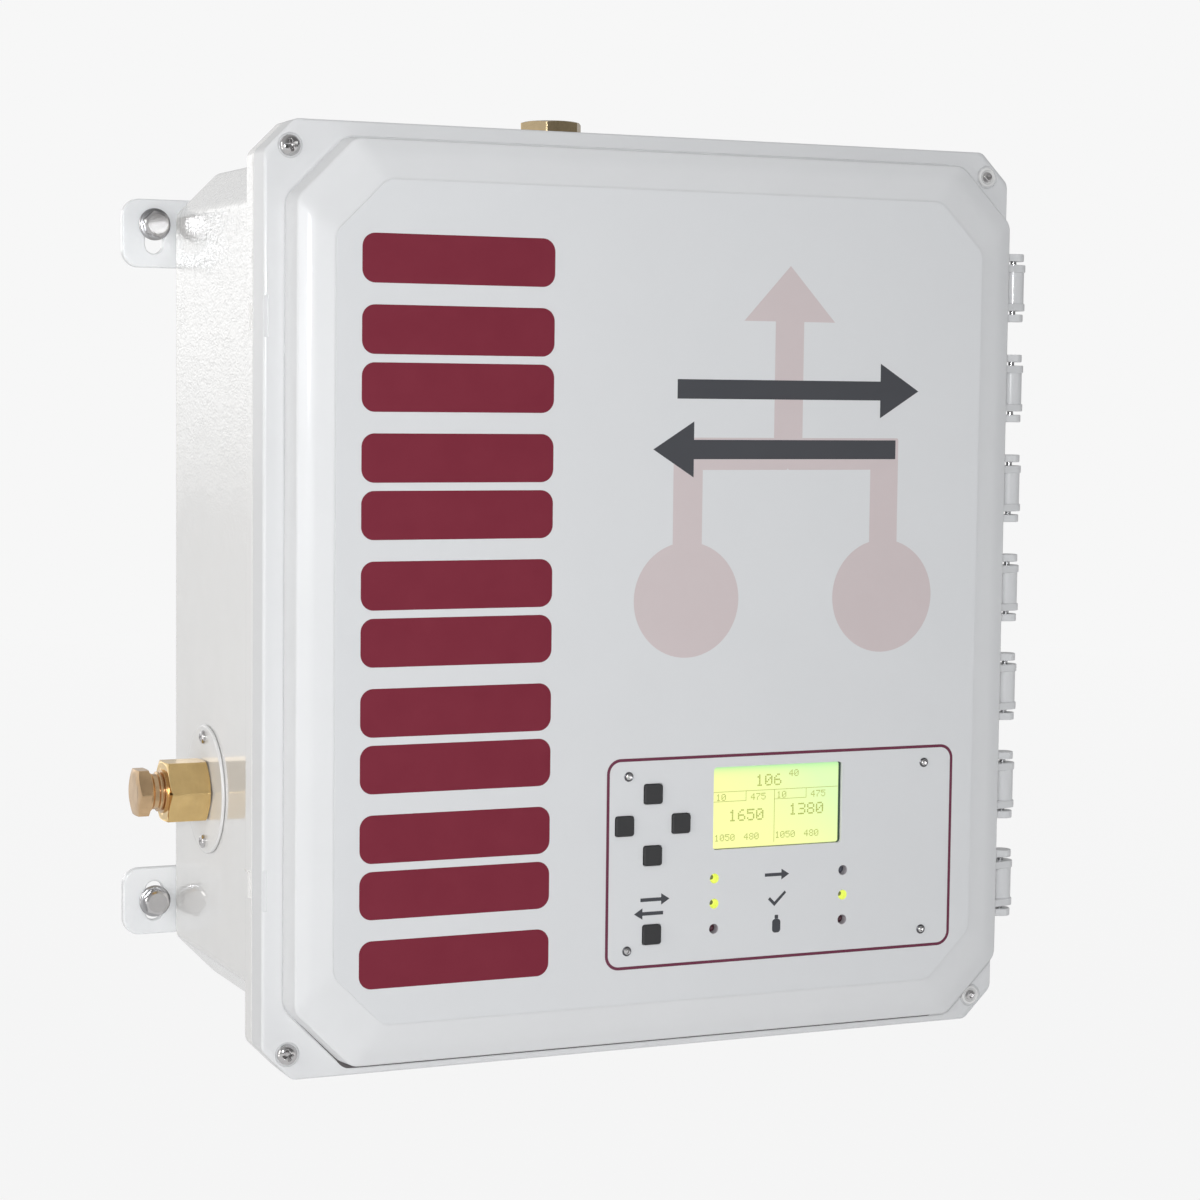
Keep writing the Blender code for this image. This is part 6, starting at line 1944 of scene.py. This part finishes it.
@dataclass
class GasPorts:
    """The inlet fittings with their plugs and cover discs, and the outlet on the top."""

    materials: dict[str, Material]
    flats: float = 28.6 * MM
    chamfer: float = 1.5 * MM
    plug_chamfer: float = 2.3 * MM
    hex_rounding: float = 0.9 * MM
    bore: float = 7.0 * MM
    bore_depth: float = 16.0 * MM
    plug_flats: float = 22.2 * MM
    inlet_length: float = 20.4 * MM
    shank: float = 19.0 * MM
    shank_radius: float = 9.7 * MM
    thread_pitch: float = 1.4 * MM
    thread_depth: float = 0.55 * MM
    port_bevel: float = 0.25 * MM
    corner_margin: float = 0.05 * MM
    chamfer_rise: float = 0.6
    socket_lead: float = 1.0 * MM
    thread_end: float = 1.6 * MM
    mouth: tuple[Point2, ...] = ((0.0, -0.9 * MM), (1.1 * MM, 0.2 * MM))
    plug_neck: float = 7.0 * MM
    plug_head: float = 7.6 * MM
    plug_stub: tuple[Point2, ...] = ((6.6 * MM, -10.0 * MM), (6.6 * MM, -0.1 * MM), (10.6 * MM, 0.0),
                                     (10.6 * MM, 0.9 * MM))
    waist: float = 8.6 * MM
    ridge: float = 9.7 * MM
    waist_heights: tuple[float, ...] = (1.3 * MM, 1.8 * MM, 3.5 * MM)
    ridge_heights: Point2 = (2.2 * MM, 3.0 * MM)
    neck_end: tuple[float, ...] = (-1.4 * MM, -0.2 * MM, 0.4 * MM)
    plug_bevel: float = 0.2 * MM
    disc_hole: float = 10.0 * MM
    disc_root: tuple[Point2, ...] = ((-0.1 * MM, 0.0), (0.0, 0.15 * MM))
    disc_rim: tuple[Point2, ...] = ((0.0, -0.75 * MM), (-0.2 * MM, -0.3 * MM), (-0.6 * MM, -0.05 * MM),
                                    (-1.1 * MM, 0.0))
    outlet_length: float = 27.5 * MM

    def build(self) -> None:
        """Build the ports on both sides and on the top."""
        for side in Side:
            self._disc(side)
            self._inlet(side)
            self._plug(side)
        self._outlet()

    def _hex_body(self, name: str, flats: float, length: float, finish: str, chamfer: float) -> Object:
        """A hexagon along +Z with the round chamfers of turned bar at both ends.

        Args:
            name: The piece's name.
            flats: The size across flats.
            length: The length along Z.
            finish: The surface finish.
            chamfer: How deep the chamfers are, across.

        Returns:
            The piece.
        """
        bm = bmesh.new()
        add_prism(bm, hexagon(flats, rounding=self.hex_rounding), (0, 0, 0), (0, 0, 1), length)
        body = make_piece(name, bm, self.materials[finish])
        corner = flats / math.sqrt(3) + self.corner_margin
        rise = chamfer * self.chamfer_rise
        combine_turned(body, "INTERSECT", [(corner - 2 * chamfer, 0), (corner, rise), (corner, length - rise),
                                           (corner - 2 * chamfer, length)], steps=96)
        return body

    def _socket(self, body: Object, length: float) -> None:
        """Add the shank below and bore the threaded socket above.

        Args:
            body: The hexagon to change.
            length: Its length.
        """
        combine_turned(body, "UNION", [(self.shank_radius, -self.shank), (self.shank_radius, self.socket_lead)],
                       steps=64)
        floor = length - self.bore_depth
        profile = [(self.bore - self.socket_lead / 2, floor)]
        level = floor + self.socket_lead
        while level < length - self.thread_end:
            profile += [(self.bore - self.thread_depth, level), (self.bore, level + self.thread_pitch / 2)]
            level += self.thread_pitch
        profile += [(self.bore + out, length + up) for out, up in self.mouth]
        combine_turned(body, "DIFFERENCE", profile)

    def _inlet(self, side: Side) -> None:
        """One inlet's bulkhead fitting."""
        node = "inlet_fitting_" + side.word
        low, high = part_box(node)
        body = self._hex_body(node + "_body", self.flats, self.inlet_length, "brass_x", self.chamfer)
        self._socket(body, self.inlet_length)
        finish_edges(body, self.port_bevel, segments=2)
        self._turn_out(body, side, self._inlet_seat(side), (low + high) / 2)
        dress(body, "cabinet", [node])

    def _inlet_seat(self, side: Side) -> float:
        """Where an inlet's hexagon starts, across."""
        low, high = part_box("inlet_fitting_" + side.word)
        return high.x - self.shank if side is Side.LEFT else low.x + self.shank

    def _plug(self, side: Side) -> None:
        """The plug in an inlet: a hex head on a grooved neck."""
        node = "inlet_plug_" + side.word
        low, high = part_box(node)
        neck = self.plug_neck
        body = self._hex_body(node + "_body", self.plug_flats, self.plug_head, "plug", self.plug_chamfer)
        body.data.transform(Matrix.Translation((0, 0, neck)))
        first, second, third = self.waist_heights
        profile = [*self.plug_stub, (self.waist, first), (self.waist, second)]
        profile += [(self.ridge, height) for height in self.ridge_heights]
        profile += [(self.waist, third), (self.waist, neck + self.neck_end[0])]
        profile += [(self.ridge, neck + rise) for rise in self.neck_end[1:]]
        combine_turned(body, "UNION", profile, steps=64)
        finish_edges(body, self.plug_bevel, segments=2)
        self._turn_out(body, side, self._inlet_seat(side) + side.value * self.inlet_length, (low + high) / 2)
        dress(body, "cabinet", [node])

    def _disc(self, side: Side) -> None:
        """The round cover behind an inlet, with a soft rolled rim."""
        node = "inlet_cover_" + side.word
        low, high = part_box(node)
        radius = (high.z - low.z) / 2
        thick = high.x - low.x
        profile = [(self.disc_hole, 0.0)] + [(radius + out, height) for out, height in self.disc_root]
        profile += [(radius + out, thick + height) for out, height in self.disc_rim]
        disc = turned_piece(node + "_disc", profile + [(self.disc_hole, thick)], (0, 0, 0), (0, 0, 1),
                            self.materials["cover"], steps=128, closed=True)
        finish_edges(disc)
        start = high.x if side is Side.LEFT else low.x
        self._turn_out(disc, side, start, (low + high) / 2)
        dress(disc, "cabinet", [node])

    @staticmethod
    def _turn_out(piece: Object, side: Side, x: float, centre: Vector) -> None:
        """Point a piece out of its side of the cabinet, with a corner of its hexagon to the front."""
        turn = Matrix.Rotation(side.value * math.pi / 2, 4, "Y") @ Matrix.Rotation(math.pi / 2, 4, "Z")
        piece.data.transform(Matrix.Translation((x, centre.y, centre.z)) @ turn)

    def _outlet(self) -> None:
        """The outlet fitting on the top."""
        low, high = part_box("outlet_fitting")
        body = self._hex_body("outlet_fitting_body", self.flats, self.outlet_length, "brass_z", self.chamfer)
        self._socket(body, self.outlet_length)
        finish_edges(body, self.port_bevel, segments=2)
        centre = (low + high) / 2
        body.data.transform(Matrix.Translation((centre.x, centre.y, low.z + self.shank)))
        dress(body, "cabinet", ["outlet_fitting"])


@dataclass
class Feet:
    """The four mounting feet."""

    materials: dict[str, Material]
    radius: float = 8.5 * MM
    slot_length: float = 20.0 * MM
    slot_width: float = 9.0 * MM
    slot_inset: float = 16.0 * MM
    slot_relief: float = 0.05 * MM
    bevel: float = 0.9 * MM

    def build(self) -> None:
        """Build each foot over its node."""
        for level in Level:
            for side in Side:
                node = f"foot_{level.word}_{side.word}"
                low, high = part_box(node)
                centre = (low + high) / 2 + Vector((0, 0, FOOT_LIFT))
                outline = rounded_rectangle(high.x - low.x, high.z - low.z, self.radius, steps=10)
                bm = bmesh.new()
                add_prism(bm, outline, (centre.x, high.y, centre.z), (0, -1, 0), high.y - low.y)
                foot = make_piece(node + "_plate", bm, self.materials["foot"])
                outer_x = low.x if side is Side.LEFT else high.x
                slot_x = outer_x - side.value * self.slot_inset
                slot = rounded_rectangle(self.slot_width, self.slot_length,
                                         self.slot_width / 2 - self.slot_relief, steps=8)
                bm = bmesh.new()
                add_prism(bm, slot, (slot_x, high.y + CUT_MARGIN, centre.z), (0, -1, 0),
                          high.y - low.y + 2 * CUT_MARGIN)
                combine(foot, bm)
                finish_edges(foot, self.bevel, segments=4)
                dress(foot, "cabinet", [node])


@dataclass
class Inside:
    """The gas train and the electrics, dressed where the model has them."""

    materials: dict[str, Material]
    finishes: dict[str, str] = field(default_factory=lambda: {
        "lid_gasket": "seal", "mounting_plate": "plate", "inlet_block_left": "brass_x",
        "inlet_block_right": "brass_x", "shutoff_valve_left": "brass_x", "shutoff_valve_right": "brass_x",
        "solenoid_coil_left": "black", "solenoid_coil_right": "black", "pressure_sensor_left": "stainless",
        "pressure_sensor_right": "stainless", "pressure_sensor_outlet": "stainless", "outlet_tee": "brass_x",
        "line_regulator": "brass_z", "regulator_knob": "black", "bank_pipe_left": "copper",
        "bank_pipe_right": "copper", "riser_pipe": "copper", "outlet_pipe": "copper",
        "power_supply": "aluminium", "terminal_block": "grey", "display_frame": "aluminium",
        "control_board": "board"})
    plate_screw_radius: float = 4.2 * MM
    plate_screw_height: float = 2.6 * MM
    clamp_count: int = 8
    clamp_pitch: float = 10.2 * MM
    clamp_inset: float = 9.0 * MM
    clamp_profile: tuple[Point2, ...] = ((2.6 * MM, -0.3 * MM), (2.6 * MM, 0.5 * MM), (2.2 * MM, 0.8 * MM))
    nut_flats: float = 11.0 * MM
    nut_sunk: float = 0.3 * MM
    nut_length: float = 4.3 * MM
    nut_bevel: float = 0.4 * MM

    def build(self) -> None:
        """Give every inner node its finish and add the small screws."""
        for node, finish in self.finishes.items():
            mesh = bpy.data.objects[node].data
            mesh.materials.clear()
            mesh.materials.append(self.materials[finish])
        self._plate_screws()
        self._terminal_screws()
        self._coil_nuts()

    def _plate_screws(self) -> None:
        """A screw at each corner of the mounting plate."""
        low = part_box("mounting_plate")[0]
        for index, (x, z) in enumerate(inset_corners("mounting_plate", PLATE_SCREW_INSET)):
            screw = build_screw(f"plate_screw_{index + 1}", self.plate_screw_radius, self.plate_screw_height,
                                Drive.CROSS, self.materials["stainless"])
            screw.matrix_world = Matrix.Translation((x, low.y, z)) @ FACING_FRONT
            dress(screw, "cabinet")

    def _terminal_screws(self) -> None:
        """Two rows of clamp screws on the terminal block."""
        low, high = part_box("terminal_block")
        bm = bmesh.new()
        for index in range(self.clamp_count):
            x = box_centre("terminal_block").x + (index - (self.clamp_count - 1) / 2) * self.clamp_pitch
            for z in (low.z + self.clamp_inset, high.z - self.clamp_inset):
                add_turned(bm, self.clamp_profile, (x, low.y, z), (0, -1, 0), steps=24)
        piece = make_piece("terminal_screws", bm, self.materials["stainless"])
        finish_edges(piece)
        dress(piece, "cabinet")

    def _coil_nuts(self) -> None:
        """The nut that holds each coil on its valve."""
        for side in Side:
            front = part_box("solenoid_coil_" + side.word)[0].y
            x = box_centre("solenoid_coil_" + side.word).x
            z = box_centre("shutoff_valve_" + side.word).z
            bm = bmesh.new()
            add_prism(bm, hexagon(self.nut_flats), (x, front + self.nut_sunk, z), (0, -1, 0), self.nut_length)
            piece = make_piece("coil_nut_" + side.word, bm, self.materials["stainless"])
            finish_edges(piece, self.nut_bevel, segments=2)
            dress(piece, "cabinet")


@dataclass(frozen=True)
class MirrorPatch:
    """A soft patch of the surroundings that is lighter or darker in reflections.

    The patch starts where the cosine of the angle to its direction is at start, and is full at end.
    """

    direction: Point3
    start: float
    end: float
    change: float


@dataclass(frozen=True)
class Lamp:
    """A rectangular lamp, with its place and size in metres and its power in watts."""

    name: str
    place: Point3
    width: float
    height: float
    power: float
    colour: Colour


@dataclass
class Studio:
    """The floor, the lamps, the surroundings and the camera."""

    floor_drop: float = 0.35
    floor_size: float = 30.0
    floor_grey: float = 0.85
    floor_roughness: float = 0.9
    floor_fade: Point2 = (1.5, 6.0)
    floor_seen: Point2 = (0.97, 1.0)
    floor_mirror_fade: Point2 = (1.5, 4.5)
    sky_colour: Colour = (0.97, 0.98, 1.0)
    background: float = 0.93
    ambient: float = 0.425
    mirrored_base: float = 0.45
    mirrored_floor: float = 0.74
    mirrored_far: float = 0.86
    mirrored: tuple[MirrorPatch, ...] = (
        MirrorPatch((0.62, -0.78, 0.0), 0.2, 0.85, -0.27), MirrorPatch((-0.55, 0.83, 0.1), 0.5, 0.92, 0.52),
        MirrorPatch((-0.28, 0.957, 0.12), 0.985, 0.998, 0.70))
    lamps: tuple[Lamp, ...] = (
        Lamp("key_lamp", (-2.2, -0.82, 0.5), 0.9, 1.1, 10.0, (1.0, 0.98, 0.955)),
        Lamp("low_lamp", (-1.5, -0.5, -0.42), 1.0, 0.3, 1.3, (1.0, 0.985, 0.965)),
        Lamp("front_lamp", (-0.60, -1.46, 0.175), 0.07, 0.05, 8.7, (0.97, 0.985, 1.0)))
    lamp_aim: Point3 = (0.0, -0.12, 0.0)
    sensor_mm: float = 36.0
    lens_mm: float = 85.626
    view_reach: float = 60.0
    camera_place: Point3 = (-0.56575, -1.40851, 0.09872)
    azimuth: float = math.radians(-23.95)
    elevation: float = math.radians(4.28)
    roll: float = math.radians(0.65)

    def build(self) -> None:
        """Set up everything round the object."""
        self._surroundings()
        self._floor()
        for lamp in self.lamps:
            self._light(lamp)
        self._camera()

    def _surroundings(self) -> None:
        """A plain pale world, white behind the object, whose reflections are darker to the front right."""
        world = bpy.data.worlds.new("pale_room")
        bpy.context.scene.world = world
        world.use_nodes = True
        tree = world.node_tree
        tree.nodes.clear()
        output = add_node(tree, "OutputWorld")
        path = add_node(tree, "LightPath")
        sky = add_node(tree, "Background", {"Color": (*self.sky_colour, 1), "Strength": self.ambient})
        seen = add_node(tree, "Background", {"Color": WHITE, "Strength": self.background})
        mirrored = add_node(tree, "Background", {"Color": WHITE, "Strength": self._mirrored_level(tree)})
        layers = ((path.outputs["Is Glossy Ray"], mirrored), (self._seen_share(tree, path), seen))
        feed(tree, output.inputs["Surface"], layer_shaders(tree, sky.outputs[0], layers))

    def _mirrored_level(self, tree: NodeTree) -> Value:
        """How bright the surroundings are to a reflected ray, by its direction."""
        place = add_node(tree, "TexCoord").outputs["Generated"]
        level: Value = self.mirrored_base
        for patch in self.mirrored:
            facing = add_node(tree, "VectorMath", {0: place, 1: Vector(patch.direction).normalized()},
                              operation="DOT_PRODUCT").outputs["Value"]
            change = ramp(tree, facing, patch.start, patch.end, 0.0, patch.change, smooth=True)
            level = compute(tree, "ADD", level, change)
        return level

    @staticmethod
    def _seen_share(tree: NodeTree, path: Node) -> NodeSocket:
        """1 for rays that come from the camera or through glass."""
        return compute(tree, "MAXIMUM", path.outputs["Is Camera Ray"], path.outputs["Is Transmission Ray"])

    def _floor(self) -> None:
        """A pale floor that blends into the background and keeps a soft shadow."""
        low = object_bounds()[0]
        bm = bmesh.new()
        bmesh.ops.create_grid(bm, x_segments=1, y_segments=1, size=self.floor_size / 2)
        floor = make_piece("pale_floor", bm)
        floor.location = (0, 0, low[2] - self.floor_drop)
        material, tree, shader = new_material("pale_floor")
        shader.inputs["Base Color"].default_value = (self.floor_grey, self.floor_grey, self.floor_grey, 1)
        shader.inputs["Roughness"].default_value = self.floor_roughness
        path = add_node(tree, "LightPath")
        place = add_node(tree, "TexCoord").outputs["Object"]
        reach = add_node(tree, "VectorMath", {0: place}, operation="LENGTH").outputs["Value"]
        level = ramp(tree, reach, *self.floor_mirror_fade, self.mirrored_floor, self.mirrored_far)
        dull = add_node(tree, "Emission", {"Strength": level})
        glow = add_node(tree, "Emission", {"Color": WHITE, "Strength": self.background})
        share = compute(tree, "MULTIPLY", self._seen_share(tree, path),
                        ramp(tree, reach, *self.floor_fade, *self.floor_seen))
        layers = ((path.outputs["Is Glossy Ray"], dull), (share, glow))
        feed(tree, tree.nodes["Material Output"].inputs["Surface"],
             layer_shaders(tree, shader.outputs[0], layers))
        floor.data.materials.append(material)
        floor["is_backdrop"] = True

    def _light(self, lamp: Lamp) -> None:
        """Set up one lamp, turned to the cabinet."""
        data = bpy.data.lights.new(lamp.name, "AREA")
        data.shape = "RECTANGLE"
        data.size, data.size_y = lamp.width, lamp.height
        data.energy = lamp.power
        data.color = lamp.colour
        light = bpy.data.objects.new(lamp.name, data)
        light.location = lamp.place
        aim = Vector(self.lamp_aim) - Vector(lamp.place)
        light.rotation_euler = aim.to_track_quat("-Z", "Y").to_euler()
        bpy.context.scene.collection.objects.link(light)

    def _camera(self) -> None:
        """The camera at the photograph's place."""
        data = bpy.data.cameras.new("photo_camera")
        data.sensor_width = self.sensor_mm
        data.lens = self.lens_mm
        data.clip_end = self.view_reach
        camera = bpy.data.objects.new("photo_camera", data)
        bpy.context.scene.collection.objects.link(camera)
        back = Vector((math.sin(self.azimuth) * math.cos(self.elevation),
                       -math.cos(self.azimuth) * math.cos(self.elevation), math.sin(self.elevation)))
        level = (-back).cross(Vector((0, 0, 1))).normalized()
        upright = level.cross(-back)
        right = level * math.cos(self.roll) + upright * math.sin(self.roll)
        up = upright * math.cos(self.roll) - level * math.sin(self.roll)
        matrix = Matrix((right, up, back)).transposed().to_4x4()
        matrix.translation = Vector(self.camera_place)
        camera.matrix_world = matrix
        bpy.context.scene.camera = camera


def main() -> None:
    """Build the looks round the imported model."""
    logging.basicConfig(level=logging.INFO)
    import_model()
    bpy.context.scene.view_settings.view_transform = "Standard"
    groups = ShaderGroups()
    materials = {key: finish.build(groups) for key, finish in FINISHES.items()}
    sizes = CabinetSizes()
    shells = Shells(sizes, materials)
    Studio().build()
    shells.build()
    FaceFilm(sizes, materials, shells).build()
    ControlPanel(sizes, materials, shells).build()
    Fasteners(sizes, materials).build()
    GasPorts(materials).build()
    Feet(materials).build()
    Inside(materials).build()
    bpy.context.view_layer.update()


if __name__ == "__main__":
    main()
